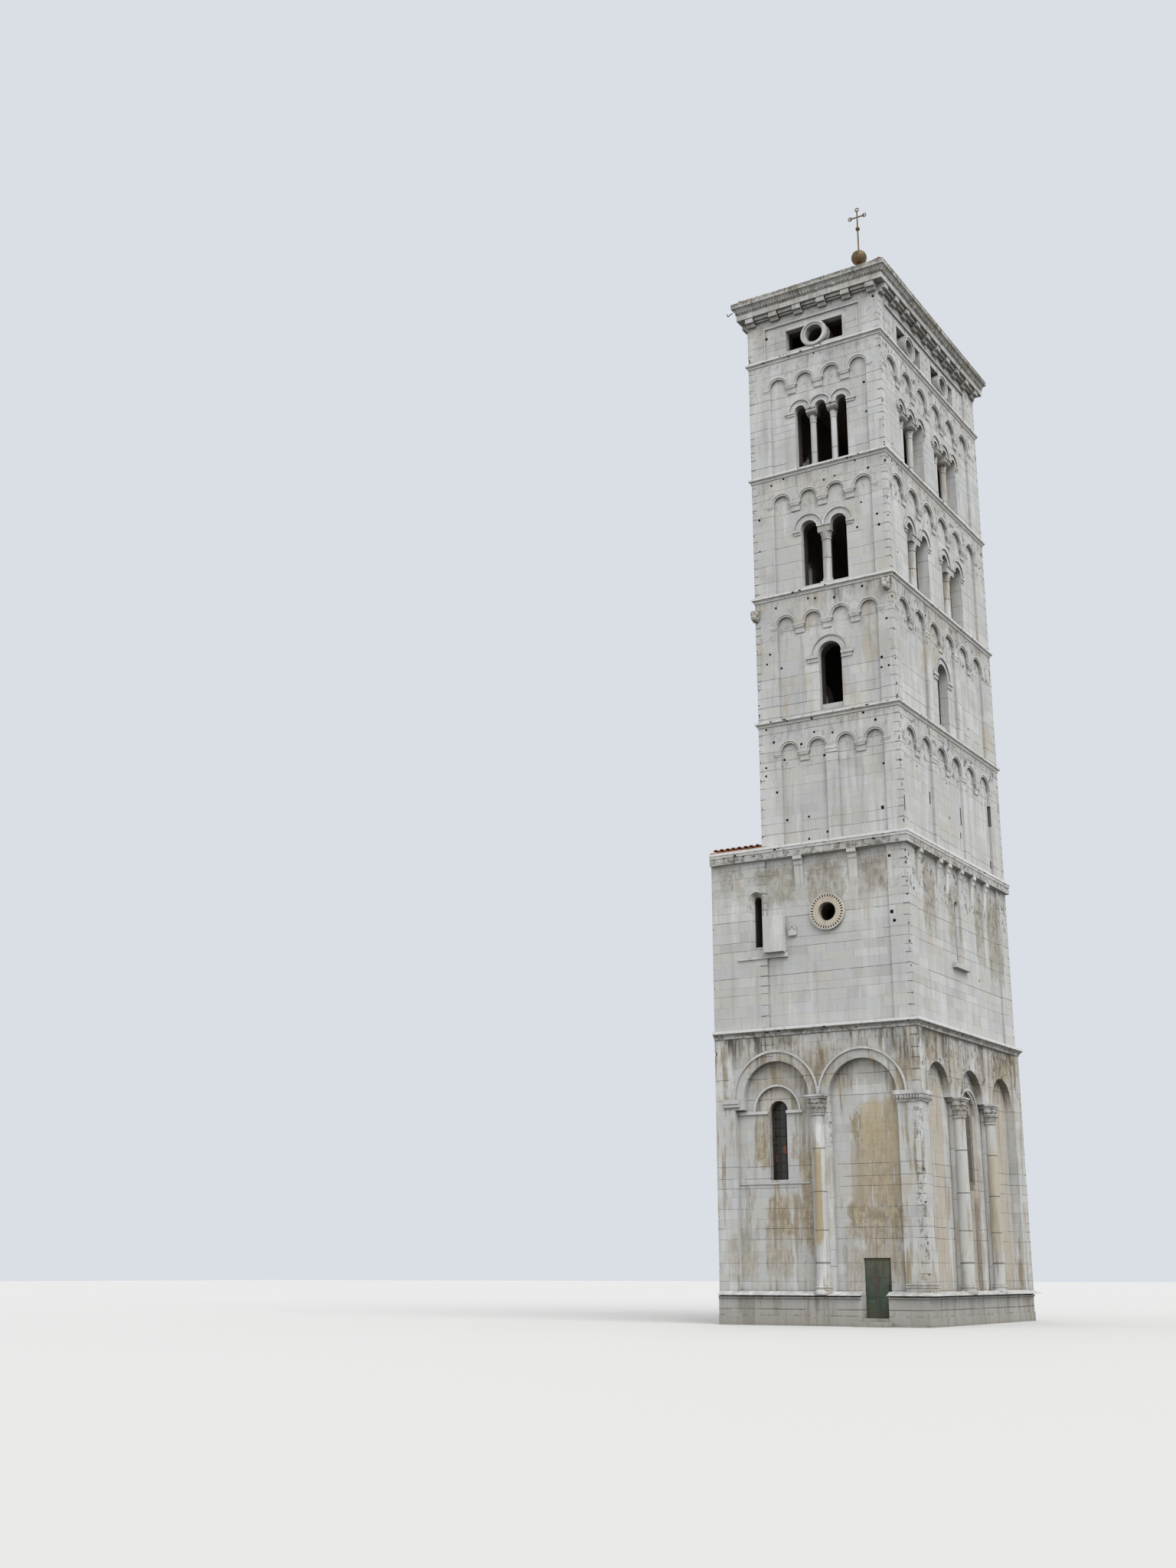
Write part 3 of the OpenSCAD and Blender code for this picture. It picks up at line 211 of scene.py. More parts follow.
# courses of uneven height with blocks of uneven length; few of their joints are open and dark
def layCourses(f, look, seed):
    f.wobble = f.noise(f.spot, 1.7, 2) * 0.035
    level = f.z / look["course"] + f.noise(f.place(0, seed, f.z), 0.9, 1) * 1.6 + f.wobble
    row = level.whole()
    length = look["block"] * (0.7 + f.chance(row, seed) * 0.9)
    run = f.along / length + f.chance(row, seed, 5) * 9 + f.wobble
    column = run.whole()
    f.tone = f.chance(column, row, f.side + seed)
    f.toneToo = f.chance(row, column, f.side + seed + 8)
    f.ragged = 0.5 + f.noise(f.spot, 9, 3)
    beside = run.part().least(1 - run.part()) * length
    above = level.part().least(1 - level.part()) * look["course"]
    openness = f.chance((level + 0.5).whole(), seed, 2).rise(0.45, 0.95) * (1 - look["open"]) + look["open"]
    eased = look["open"] * 0.3
    broken = f.noise(f.place(f.x, f.y, f.z * 4), 1.3, 3).rise(0.4 - eased, 0.56 - eased)
    wide = look["joint"]
    bedJoint = (1 - above.rise(wide * 0.35, wide * 1.6 * f.ragged)) * openness * broken
    upJoint = (1 - beside.rise(wide * 0.3, wide * 1.5 * f.ragged)) * look["upright"] * (0.4 + f.toneToo)
    nearCorner = 1 - (abs(abs(f.x) - wall["halfWidth"]) + abs(abs(f.y) - wall["halfDepth"])).rise(0.14, 0.2)
    cornerJoint = (1 - above.rise(0.008, 0.03)) * nearCorner * (f.toneToo > 0.45)
    flat = abs(f.nz) > 0.75
    f.joint = bedJoint.most(upJoint).most(cornerJoint) * (1 - flat)


# blocks of several tones, washed strips, blotches and ochre
def weather(f, look, seed):
    f.grain = f.noise(f.spot, 26, 5, 0.68)
    f.cloud = f.noise(f.spot, 0.55, 5, 0.6, 0.4)
    f.runs = f.drawn(5.2, 0.42, seed, 4, 0.62)
    f.fineRuns = f.drawn(11, 0.9, seed, 5, 0.7)
    f.washes = f.drawn(1.7, 0.2, seed, 4, 0.6)
    f.mottle = f.drawn(6, 3.4, seed, 5, 0.7)
    ochre = f.noise(f.place(f.x, f.y, f.z * 0.6 + seed), 0.9, 5, 0.65, 0.6)
    f.colour = f.mix(f.tone * 0.8 + f.cloud * 0.2, look["cool"], look["warm"])
    f.over((f.toneToo - 0.78).rise(0, 0.2) * 0.3, look["washed"])
    f.over((0.16 - f.toneToo).rise(0, 0.16) * 0.3, shades["dull"])
    f.over(f.washes.rise(0.48, 0.64) * look["wash"], look["washed"])
    f.over(f.cloud.rise(0.5, 0.72) * look["blotch"], shades["blotch"])
    f.over(ochre.rise(0.52, 0.64) * look["ochre"], look["stain"])
    if look["runOchre"]:
        f.over(f.runs.rise(0.5, 0.6) * ochre.rise(0.42, 0.56) * look["runOchre"], shades["ochreRun"])


# stained fields, even washes and stripes, set where the real ones are; one wash and two column stripes
# carry painted shade
def stain(f, look, seed):
    tone = f.mix(f.mottle.rise(0.42, 0.6), look["stainLow"], look["stainHigh"])
    tone = f.mix(f.fineRuns.rise(0.48, 0.62) * 0.55, tone, shades["stainRun"])
    edge = f.drawn(2.6, 1.3, seed, 5, 0.72) * 1.3 - 0.65
    rubbed = f.drawn(1.9, 1.2, seed + 3, 5, 0.72, 0.4).rise(0.36, 0.6)
    faces = (1 - f.side, f.side)
    for centre, height, halfWide, halfHigh, strength, onRight in look["patches"]:
        across = 1 - (abs(f.along - centre) / halfWide + edge).rise(0.7, 0.98)
        upward = 1 - (abs(f.z - height) / halfHigh + edge).rise(0.6, 1.05)
        thick = 0.25 + f.fineRuns.rise(0.3, 0.62) * 0.45 + rubbed * 0.75
        f.over((across * upward * faces[onRight] * thick * strength).least(0.92), tone)
    blocky = 0.78 + (f.tone - 0.5) * 0.25 + f.mottle.rise(0.4, 0.62) * 0.2
    for centre, height, halfWide, halfHigh, strength, onRight, shade in look["washesOf"]:
        across = 1 - (abs(f.along - centre) / halfWide + edge * 0.35).rise(0.86, 1.02)
        upward = 1 - (abs(f.z - height) / halfHigh + edge * 0.5).rise(0.8, 1.05)
        thick = blocky * (1 - f.fineRuns.rise(0.55, 0.66) * 0.45)
        f.over((across * upward * faces[onRight] * thick * strength).least(0.95), shade)
    for x, y, wide, low, high, strength, shade in look["stripes"]:
        near = 1 - (((f.x - x) ** 2 + (f.y - y) ** 2) ** 0.5 / wide + edge * 0.4).rise(0.75, 1)
        band = (f.z + edge).rise(low, low + 0.5) * (1 - (f.z + edge).rise(high - 0.5, high))
        f.over((near * band * (0.45 + f.mottle) * strength).least(0.9), shade)
    if look["patches"]:
        f.over(f.fineRuns.rise(0.56, 0.66) * f.washes.rise(0.42, 0.56) * 0.6, look["washed"])


# warm stone of the round window's ring; returns where its reveal is, which gets the inside's painted shade
def tintRing(f):
    fromRing = ((f.x - roundWindow["x"]) ** 2 + (f.z - roundWindow["z"]) ** 2) ** 0.5
    tint = fromRing.rise(0.2, 0.3) * (1 - fromRing.rise(0.5, 0.62)) * (f.y < -4.3) * (0.35 + f.mottle)
    f.over(tint, shades["ring"])
    return (fromRing < roundWindow["reveal"]) * (f.y > -4.47) * (f.y < 0)


# dirt that water carries: streaks, drips and tufts under each string, splashes at the foot
def runDown(f, look, seed):
    if look["cornerStain"]:
        nearCorner = 1 - (abs(f.x - wall["halfWidth"]) + abs(f.y + wall["halfDepth"])).rise(0.06, 0.3)
        byCorner = nearCorner * f.mottle.rise(0.5, 0.6) * (f.z < 6.2) * (f.z > 1.3)
        f.over(byCorner * look["cornerStain"], shades["corner"])
    f.over(f.runs.rise(0.52, 0.68) * look["streak"], shades["streak"])
    for top in look["tops"]:
        down = top - f.z
        patchy = f.noise(f.place(f.x * 0.9, f.y * 0.9, seed), 1, 3).rise(0.38, 0.58)
        reach = look["dripReach"] * (0.15 + patchy * 0.8 + f.runs * 1.1)
        drip = (1 - down / reach).rise(0, 1) * (down > -0.05)
        cluster = f.drawn(1.9, 0.8, seed + 6, 4, 0.62).rise(0.4, 0.6)
        thick = (0.25 + f.fineRuns.rise(0.4, 0.62) * 0.9) * (0.2 + cluster) * look["drip"]
        f.over(drip * thick, f.mix(f.cloud.rise(0.4, 0.6), look["sootAndShade"], shades["drip"]))
        tuft = f.drawn(4.6, 3.6, seed, 4, 0.72).rise(0.55, 0.61)
        below = (down > 0.02) * (1 - (down / 1.9).rise(0.55, 1))
        f.over(tuft * below * (0.3 + f.side * 0.7) * look["tufts"], look["sootAndShade"])
    if look["splash"]:
        foot = 1 - (f.z / (look["splash"] * (0.4 + f.runs * 1.3))).rise(0.1, 1)
        f.over(foot * 0.6, shades["splash"])


# grain, pocks, dark joints and moss on ledges, with painted shade in hollows, on undersides, in jambs and
# under the strings' rolls, and a painted highlight on their fillets
def grainMossAndShade(f, look):
    f.over(f.grain.rise(0.52, 0.82) * 0.4, look["sootAndShade"])
    spot = f.place(f.x + f.ragged * 0.05, f.y + f.grain * 0.07, f.z * 1.3 + f.wobble)
    pock = 1 - f.node("TexVoronoi", {}, {"Vector": spot, "Scale": 2.6}).rise(0.012, 0.065)
    f.over(pock * (0.75 + f.side * 0.25) * look["spots"], look["sootAndShade"])
    f.over(f.joint * look["jointShade"], shades["joint"])
    growth = f.noise(f.spot, 5.5, 5, 0.7)
    # painted shade in creases and hollows, where little sky reaches, with some soot in it; the soot colour
    # serves for both
    crevice = (1 - f.cover(0.22)).rise(0.2, 0.85) * look["crevice"]
    f.over((crevice * (0.35 + growth * 0.9) * (1 + f.side * 0.35)).least(0.95), look["sootAndShade"])
    # painted shade on faces that turn downwards: under strings, hoods, corbels and brackets
    f.over((0 - f.nz).rise(0.35, 0.85) * look["under"] * (0.5 + growth * 0.9), shades["paintedSoffitShade"])
    mossTone = f.mix(growth.rise(0.5, 0.62), look["sootAndShade"], look["moss"])
    f.over(f.nz.rise(0.3, 0.75) * growth.rise(0.4, 0.58) * look["mossy"], mossTone)
    # pale bands on the strings' top fillets: rain-washed stone, with a painted highlight where the tops
    # face the sky
    for low, high in look["paleBands"]:
        band = f.z.rise(low - 0.01, low + 0.01) * (1 - f.z.rise(high - 0.01, high + 0.03))
        f.over(band * (0.95 - growth.rise(0.5, 0.62) * 0.8), look["washed"])
    # dark bands: painted shade under the strings' rolls, with moss in it; on the crown, moss
    for low, high in look["darkBands"]:
        band = f.z.rise(low - 0.02, low + 0.02) * (1 - f.z.rise(high - 0.03, high + 0.03))
        rollShadeTone = f.mix(growth.rise(0.5, 0.64), shades["roll"], look["moss"])
        f.over(band * (0.3 + growth.rise(0.42, 0.6) * 0.7) * 0.75, rollShadeTone)
    # painted shade in the jambs of the right ground window's reveal
    if look["jamb"]:
        hole = rightReveal
        jamb = (f.x > hole["from"]) * (f.x < hole["to"]) * (abs(f.y) < hole["halfWide"])
        jamb = jamb * (f.z > hole["low"]) * (f.z < hole["high"])
        f.over(jamb * look["jamb"] * (0.7 + growth * 0.5), shades["jamb"])


def stone(name, **changes):
    look = {**stoneLook, **changes}
    seed = look["seed"] * 3.7
    f = Finish(name)
    f.side = abs(f.nx) > abs(f.ny)
    f.along = f.x * (1 - f.side) + f.y * f.side
    layCourses(f, look, seed)
    weather(f, look, seed)
    stain(f, look, seed)
    reveal = tintRing(f) if look["ring"] else 0
    runDown(f, look, seed)
    grainMossAndShade(f, look)
    # the tower's inside, and the round window's reveal, are painted near black: painted shade where the
    # windows look in
    left, right, halfDeep = look["insideBox"]
    inside = ((f.x > left) * (f.x < right) * (abs(f.y) < halfDeep)).most(reveal)
    f.over(inside, f.mix(f.tone, look["inside"], shades["paintedInsideShade"]))
    pits = f.noise(f.spot, 60, 3, 0.7)
    height = f.grain * 0.35 + pits * 0.15 + f.tone * 0.1 + f.cloud * 0.2 - f.joint * 0.9
    return f.done(0.82 + f.grain * 0.16, height, depth=0.012, strength=0.75)


# the level of each string's underside, which the drips and tufts hang from
stringTops = {
    "ground": 8.57, "oculus": 14.206, "blind": 18.599, "single": 22.944, "bifora": 27.289,
    "trifora": 31.634, "attic": 33.5}
# stained fields: along, level, half width, half height, strength, 1 on the right face and 0 on the front
groundPatches = (
    (0.95, 4.6, 0.8, 1.8, 1.05, 0), (0.85, 2.9, 1.1, 0.62, 0.85, 0), (0.75, 1.7, 1.0, 0.7, 0.45, 0),
    (-2.3, 3.2, 0.42, 0.7, 0.95, 0), (-2.3, 2.1, 0.5, 0.9, 0.5, 0), (-1.33, 3.4, 0.22, 1.8, 0.95, 0),
    (-2.8, 5.3, 0.26, 0.8, 0.9, 0), (-1.55, 5.2, 0.3, 0.45, 0.6, 0), (-3.5, 2.0, 0.5, 0.8, 0.4, 0),
    (-2.3, 7.3, 1.0, 0.5, 0.35, 0), (-0.75, 7.6, 0.6, 0.7, 0.5, 0), (2.2, 7.6, 0.5, 0.8, 0.5, 0),
    (0.0, 3.0, 1.15, 2.3, 0.5, 1), (-1.4, 7.6, 1.0, 0.8, 0.5, 1), (2.0, 7.6, 1.4, 0.7, 0.5, 1),
    (-3.3, 8.1, 0.6, 0.5, 0.8, 1), (3.4, 8.0, 0.7, 0.6, 0.8, 1))
oculusPatches = (
    (-2.0, 13.3, 0.75, 0.75, 0.75, 0), (-0.3, 13.3, 0.75, 0.8, 0.75, 0), (1.3, 13.4, 0.5, 0.7, 0.7, 0),
    (-3.6, 13.7, 0.5, 0.5, 0.6, 0), (-2.6, 12.7, 0.6, 1.2, 0.75, 1), (-0.4, 12.6, 0.7, 1.2, 0.75, 1),
    (1.9, 12.6, 0.5, 1.3, 0.75, 1), (3.3, 12.4, 0.7, 1.6, 0.9, 1))
# even washes: the same, and then their colour
fieldTan, windowTan, sootAndShadeRun = (0.435, 0.385, 0.31), (0.36, 0.315, 0.255), (0.105, 0.092, 0.072)
fieldOchre, doorOchre, deepOchre = (0.45, 0.375, 0.245), (0.41, 0.345, 0.245), (0.36, 0.305, 0.235)
# the darker washes here are soot runs; the one beside the near right column is painted shade of the gap
# behind that column as well as soot
groundWashes = (
    (-2.86, 3.9, 0.86, 3.7, 0.85, 1, fieldTan), (0.0, 3.9, 0.95, 3.7, 0.75, 1, windowTan),
    (2.86, 3.9, 0.95, 3.7, 0.9, 1, fieldTan), (-0.42, 2.5, 0.34, 1.75, 0.9, 1, sootAndShadeRun),
    (0.5, 2.3, 0.22, 1.5, 0.7, 1, sootAndShadeRun), (0.0, 4.08, 0.5, 0.1, 0.85, 1, sootAndShadeRun),
    (2.15, 3.0, 0.25, 2.2, 0.35, 1, sootAndShadeRun), (1.12, 5.6, 0.66, 0.95, 0.85, 0, fieldOchre),
    (1.05, 4.1, 0.72, 0.7, 0.6, 0, doorOchre), (0.3, 4.4, 0.2, 1.0, 0.75, 0, deepOchre))
# stripes on the columns: x, y, reach, from, to, strength, colour
columnStripes = (
    (-0.8, -4.8, 0.16, 2.1, 5.3, 0.95, (0.37, 0.295, 0.17)),
    (2.5, 1.42, 0.36, 2.0, 5.6, 0.75, (0.45, 0.385, 0.27)),
    # the last two are dark: the first darkens the front column's top and capital, painted shade; the second
    # is painted shadow on the near right column's back, in the gap before its strip, with a dark stain
    (-0.8, -4.6, 0.5, 5.7, 6.9, 0.45, (0.12, 0.10, 0.075)),
    (2.3, -1.2, 0.2, 1, 6.5, 0.6, (0.16, 0.14, 0.11)))
# pale fillets of the string courses, rain-washed with a painted highlight on their tops; dark bands over
# the strings' lower rolls, painted shade under each roll with moss in it; and the crown's two dark bands,
# moss along its top edge and a dark band at its foot
stringPale = ((8.75, 8.84), (14.47, 14.7), (18.71, 18.79), (23.06, 23.13), (27.40, 27.48), (31.75, 31.83))
stringDark = ((8.57, 8.73), (14.206, 14.42))
crownDark = ((34.04, 34.17), (33.7, 33.8))

storeyFinish = {
    "ground": stone("groundMarble", seed=1, insideBox=(-3.6, 1.98, 4.1), tops=(stringTops["ground"],),
                    ochre=0.32, runOchre=0.7, streak=0.45, splash=1.3, blotch=0.35, drip=0.9, dripReach=1.5,
                    jamb=0.85, wash=0.6, cornerStain=0.7, patches=groundPatches, washesOf=groundWashes,
                    stainLow=(0.285, 0.232, 0.15), stainHigh=(0.42, 0.365, 0.265)),
    "oculus": stone("oculusMarble", seed=2, insideBox=(-3.6, 2.24, 4.38), ring=True, patches=oculusPatches,
                    tops=(stringTops["oculus"],), ochre=0.18, streak=0.2, blotch=0.2, wash=0.3),
    "blind": stone("blindMarble", seed=3, tops=(stringTops["blind"],), streak=0.3),
    "single": stone("singleMarble", seed=4, insideBox=(-2.05, 2.05, 4.3), tops=(stringTops["single"],),
                    ochre=0.35, drip=0.6),
    "bifora": stone("biforaMarble", seed=5, tops=(stringTops["bifora"],), cool=(0.48, 0.49, 0.495)),
    "trifora": stone("triforaMarble", seed=6, tops=(stringTops["trifora"],), streak=0.2,
                     cool=(0.475, 0.49, 0.50)),
    "attic": stone("atticMarble", seed=7, tops=(stringTops["attic"],), streak=0.15, course=0.24,
                   cool=(0.48, 0.495, 0.51)),
}
mouldStone = stone(
    "mouldingMarble", seed=8, course=3.1, block=1.15, streak=0.15, blotch=0.1, upright=0.8, wash=0.85,
    crevice=0.8, darkBands=stringDark, paleBands=stringPale, cool=(0.50, 0.505, 0.50),
    warm=(0.54, 0.53, 0.49))
corniceStone = stone(
    "corniceMarble", seed=12, course=3.1, block=0.9, streak=0.6, blotch=0.7, upright=0.9, crevice=1,
    under=0.85, tops=(34.2,), drip=1, dripReach=0.55, darkBands=crownDark, cool=(0.44, 0.45, 0.45),
    warm=(0.47, 0.46, 0.43))
plinthStone = stone("plinthMarble", seed=9, splash=1.1, streak=0.6, course=0.42, block=1.1, runOchre=0.4)
ledgeStone = stone(
    "ledgeMarble", seed=18, mossy=0.3, crevice=0.25, course=5, block=1.2, wash=0.7, upright=0.8)
stripStone = stone(
    "stripMarble", seed=19, course=0.62, block=5, wash=0.7, streak=0.35, ochre=0.25, runOchre=0.3,
    tops=(6.7,), drip=0.6, dripReach=0.7)
carvedStone = stone(
    "carvedMarble", seed=15, course=9, block=9, upright=0, crevice=1, streak=0.6, ochre=0.45, spots=0.5,
    cool=(0.36, 0.355, 0.335), warm=(0.42, 0.40, 0.355), washed=(0.55, 0.55, 0.53))
surroundStone = stone(
    "surroundMarble", seed=16, jamb=0.55, upright=0.2, course=2.3, crevice=0.8, wash=0.6, ring=True,
    insideBox=(-3.6, 1.9, 4.2))
corbelStone = stone(
    "corbelMarble", seed=17, course=3.3, block=9, upright=0, crevice=0.95, under=0.95, wash=0.6,
    mossy=0.6, cool=(0.50, 0.50, 0.49), warm=(0.53, 0.52, 0.48))
columnStone = stone(
    "columnMarble", seed=10, stripes=columnStripes, course=1.27, block=9, joint=0.02, streak=0.4,
    wash=0.8, upright=0, open=1, runOchre=0.5, ochre=0.3)
# dark stone that the holes and chips take on their cut faces: painted shade inside them
holeShade = stone(
    "holePaintedShade", seed=14, cool=(0.09, 0.085, 0.075), warm=(0.12, 0.105, 0.09), washed=(0.14, 0.13, 0.115))
print("stone finishes made")


def tileFinish():
    f = Finish("terracottaTile")
    lichen = f.noise(f.spot, 7, 5, 0.7)
    tone = f.chance((f.x / 0.23).whole(), (f.y / 0.23).whole(), (f.z / 0.13).whole())
    f.colour = f.mix(tone, (0.24, 0.085, 0.045), (0.40, 0.19, 0.11))
    f.over(lichen.rise(0.5, 0.68) * 0.75, (0.19, 0.18, 0.13))
    f.over(f.noise(f.spot, 2.1, 4).rise(0.45, 0.7) * 0.6, (0.075, 0.06, 0.05))
    return f.done(0.8 + lichen * 0.15, lichen + f.noise(f.spot, 45, 3) * 0.4, depth=0.01)


def timberFinish():
    f = Finish("agedFloorBoards")
    board = (f.x / 0.19 + 50).whole()
    edge = (f.x / 0.19).part()
    fibre = f.noise(f.place(f.x * 40, f.y * 1.6 + f.chance(board) * 9, f.z * 40), 1, 5, 0.65)
    f.colour = f.mix(fibre, (0.055, 0.035, 0.022), (0.16, 0.105, 0.065))
    f.over(f.chance(board, 3) * 0.4, (0.09, 0.08, 0.07))
    gap = 1 - edge.least(1 - edge).rise(0.01, 0.04)
    f.over(gap, (0.012, 0.01, 0.008))
    return f.done(0.75 + fibre * 0.2, fibre - gap, depth=0.008)


def bronzeFinish():
    f = Finish("weatheredBronze")
    patina = f.noise(f.spot, 6, 6, 0.65)
    runs = f.drawn(14, 2.2, 0, 4)
    f.colour = f.mix(patina.rise(0.42, 0.66), (0.19, 0.115, 0.05), (0.115, 0.10, 0.065))
    f.over(runs.rise(0.52, 0.66) * 0.75, (0.13, 0.19, 0.15))
    return f.done(0.42 + patina * 0.35, patina, metallic=1 - runs.rise(0.5, 0.66) * 0.7, depth=0.004)


def ironFinish():
    f = Finish("rustedIron")
    rust = f.noise(f.spot, 18, 5, 0.7)
    f.colour = f.mix(rust.rise(0.42, 0.62), (0.035, 0.033, 0.032), (0.15, 0.065, 0.03))
    return f.done(0.55 + rust * 0.4, rust, metallic=1 - rust.rise(0.4, 0.6), depth=0.003)


def doorFinish():
    f = Finish("mottledGreenPaint")
    flake = f.noise(f.spot, 9, 6, 0.72, 0.5)
    runs = f.drawn(15, 1.3, 0, 4, 0.6)
    wide = f.drawn(3.5, 1.1, 4, 4)
    f.colour = f.mix(wide.rise(0.4, 0.6), (0.055, 0.075, 0.042), (0.035, 0.062, 0.05))
    f.over(f.z.rise(0.9, 1.9) * 0.7, (0.105, 0.105, 0.06))
    f.over(runs.rise(0.48, 0.6) * 0.6, (0.035, 0.035, 0.038))
    f.over(flake.rise(0.54, 0.64) * 0.6, (0.12, 0.12, 0.10))
    f.over(runs.rise(0.6, 0.68) * flake.rise(0.4, 0.55) * 0.7, (0.12, 0.065, 0.03))
    foot = 1 - f.z.rise(0.3, 0.6)
    f.over(foot * 0.65 * runs.rise(0.35, 0.6), (0.085, 0.06, 0.04))
    return f.done(0.5 + flake * 0.4, flake, depth=0.003)


def glassFinish():
    f = Finish("dustyGlass")
    dust = f.noise(f.spot, 3.5, 5, 0.65)
    pane = f.chance((f.x / 0.207).whole(), (f.y / 0.207).whole(), (f.z / 0.266 + 0.1).whole())
    f.colour = f.mix(dust, (0.012, 0.014, 0.016), (0.05, 0.05, 0.045))
    f.over(pane.rise(0.9, 0.93), (0.30, 0.075, 0.02))
    return f.done(0.12 + dust * 0.35, dust, depth=0.002)


roofTile = tileFinish()
floorTimber = timberFinish()
bronze = bronzeFinish()
iron = ironFinish()
doorPaint = doorFinish()
dustyGlass = glassFinish()
print("tile, timber, metal and paint made")

nodeFinish = {
    "plinth": plinthStone, "door_threshold": plinthStone, "half_columns": columnStone,
    "colonnettes": columnStone, "string_courses": mouldStone, "crown_cornice": corniceStone,
    "cornice_modillions": corniceStone, "hanging_strips": mouldStone, "window_surrounds": surroundStone,
    "arcade_corbels": corbelStone, "wing_roof": roofTile, "tower_roof": roofTile,
    "storey_floors": floorTimber, "door_hinges": iron, "door": doorPaint,
    "party_wall": storeyFinish["ground"]}


def dress(piece, name):
    finish = nodeFinish.get(name, storeyFinish.get(name.split("_")[0]))
    for part in piece.material_slots:
        given = part.material.name if part.material else ""
        part.material = iron if "iron" in given else bronze if "bronze" in given else finish
    if not piece.material_slots:
        piece.data.materials.append(finish)


for name, piece in nodes.items():
    dress(piece, name)
print("frame dressed")

# scaffold holes in the walls: along the face, level, size
holeDepth = 0.2
frontHoles = (
    (-1.68, 27.11, .058), (-2.18, 25.96, .08), (2.04, 25.19, .08), (2.09, 24.8, .091), (1.3, 24.92, .074),
    (-1.93, 21.1, .074), (-1.57, 20.58, .074), (-2.05, 20.78, .063), (1.96, 20.28, .085),
    (1.94, 19.94, .069), (2.19, 19.96, .069), (-2.19, 24.82, .058), (-1.67, 22.68, .074),
    (.42, 22.63, .08), (-.25, 22.74, .074), (1.41, 22.81, .08), (2.19, 21.54, .074), (-.5, 22.79, .069),
    (.31, 26.57, .074), (.89, 26.35, .063), (-.51, 18.65, .074), (1.65, 18.25, .08), (1.25, 18.55, .08),
    (1.48, 25.77, .063), (-2.15, 18.54, .069), (-1.89, 18.07, .08), (-2.19, 17.25, .069),
    (-2.2, 16.97, .069), (-1.83, 16.38, .08), (-1.54, 15.44, .08), (-.78, 15.45, .069),
    (1.72, 15.4, .107), (-.92, 17.86, .08), (-.17, 17.39, .08), (-1.57, 17.45, .074), (-.46, 18.19, .069),
    (.18, 18.07, .069), (-.16, 14.88, .074), (-.8, 14.73, .069), (1.89, 12.08, .107), (1.96, 11.8, .091),
    (1.89, 13.83, .085), (1.82, 16.81, .069), (2.27, 33.07, .085), (-1.72, 32.68, .091),
    (1.77, 30.05, .085), (1.8, 28.96, .069), (.04, 31.6, .058), (-1.7, 27.11, .069), (-1.24, 27.24, .074),
    (.23, 26.85, .074), (.62, 26.9, .063), (1.81, 26.88, .08), (1.36, 27.26, .063))
rightHoles = (
    (-4.11, 24.55, .08), (-3.71, 24.09, .074), (-4.06, 26.1, .08), (-3.99, 21.16, .08),
    (-1.73, 22.52, .08), (2.18, 22.82, .074), (1.72, 24.96, .074), (0, 20.3, .069), (-3.73, 22.57, .074),
    (4.14, 26.29, .074), (2.04, 19.59, .085), (-.32, 15.9, .08), (-4.06, 12.84, .096), (-3.03, 17, .069),
    (-.41, 17.06, .069), (1.59, 10.77, .074), (-3.69, 27.98, .074), (-4.04, 27.2, .085),
    (-3.6, 27.24, .08), (-.7, 29.38, .08), (-4.08, 33, .074))
# upright slots where blocks are gone: along, level, width, height
slotDepth = 0.12
mossSlots = (
    (-2.01, 16.18, 0.1, 0.42), (0.775, 16.19, 0.1, 0.62), (3.55, 16.8, 0.12, 0.7),
    (0.67, 15.5, 0.09, 0.2), (3.5, 15.05, 0.1, 0.25), (-4.45, 15.46, 0.07, 0.5))
# chips off the walls' corners and off the edges of the strings
chips = {"count": 120, "small": 0.015, "large": 0.075, "low": 1.2, "high": 33.2, "share": 0.7}
stringWear = {
    "levels": (8.7, 14.45, 18.69, 23.04, 27.38, 31.73), "out": 0.1, "small": 0.025, "large": 0.075,
    "each": 16, "tall": 0.6}
lumpFaces = (
    (4, 3, 2, 1, 0), (5, 6, 7, 8, 9), (0, 1, 6, 5), (1, 2, 7, 6), (2, 3, 8, 7), (3, 4, 9, 8),
    (4, 0, 5, 9))
boxFaces = ((0, 2, 3, 1), (4, 5, 7, 6), (0, 1, 5, 4), (2, 6, 7, 3), (0, 4, 6, 2), (1, 3, 7, 5))


# the signs of a box's eight corners
def cornerSigns():
    return [((i & 1) * 2 - 1, (i >> 1 & 1) * 2 - 1, (i >> 2 & 1) * 2 - 1) for i in range(8)]


def boxPoints(centre, half):
    points = []
    for sign in cornerSigns():
        jitter = [dice.uniform(0.86, 1.14) for _ in range(3)]
        points.append(Vector(centre) + Vector([sign[k] * half[k] * jitter[k] for k in range(3)]))
    return points


def lumpPoints(centre, size, tall):
    points = []
    for k in range(10):
        turn = k % 5 / 5 * math.tau + dice.uniform(-0.3, 0.3)
        out = size * dice.uniform(0.55, 1.25)
        rise = tall * (1 if k > 4 else -1) * dice.uniform(0.25, 1)
        points.append(Vector(centre) + Vector((out * math.cos(turn), out * math.sin(turn), rise)))
    return points


# x of the right or left wall at a level
def wallEnd(way, level):
    if way > 0:
        return wall["halfWidth"]
    return -wall["halfWidth"] if level > wall["shaftFrom"] else wall["baseLeft"]


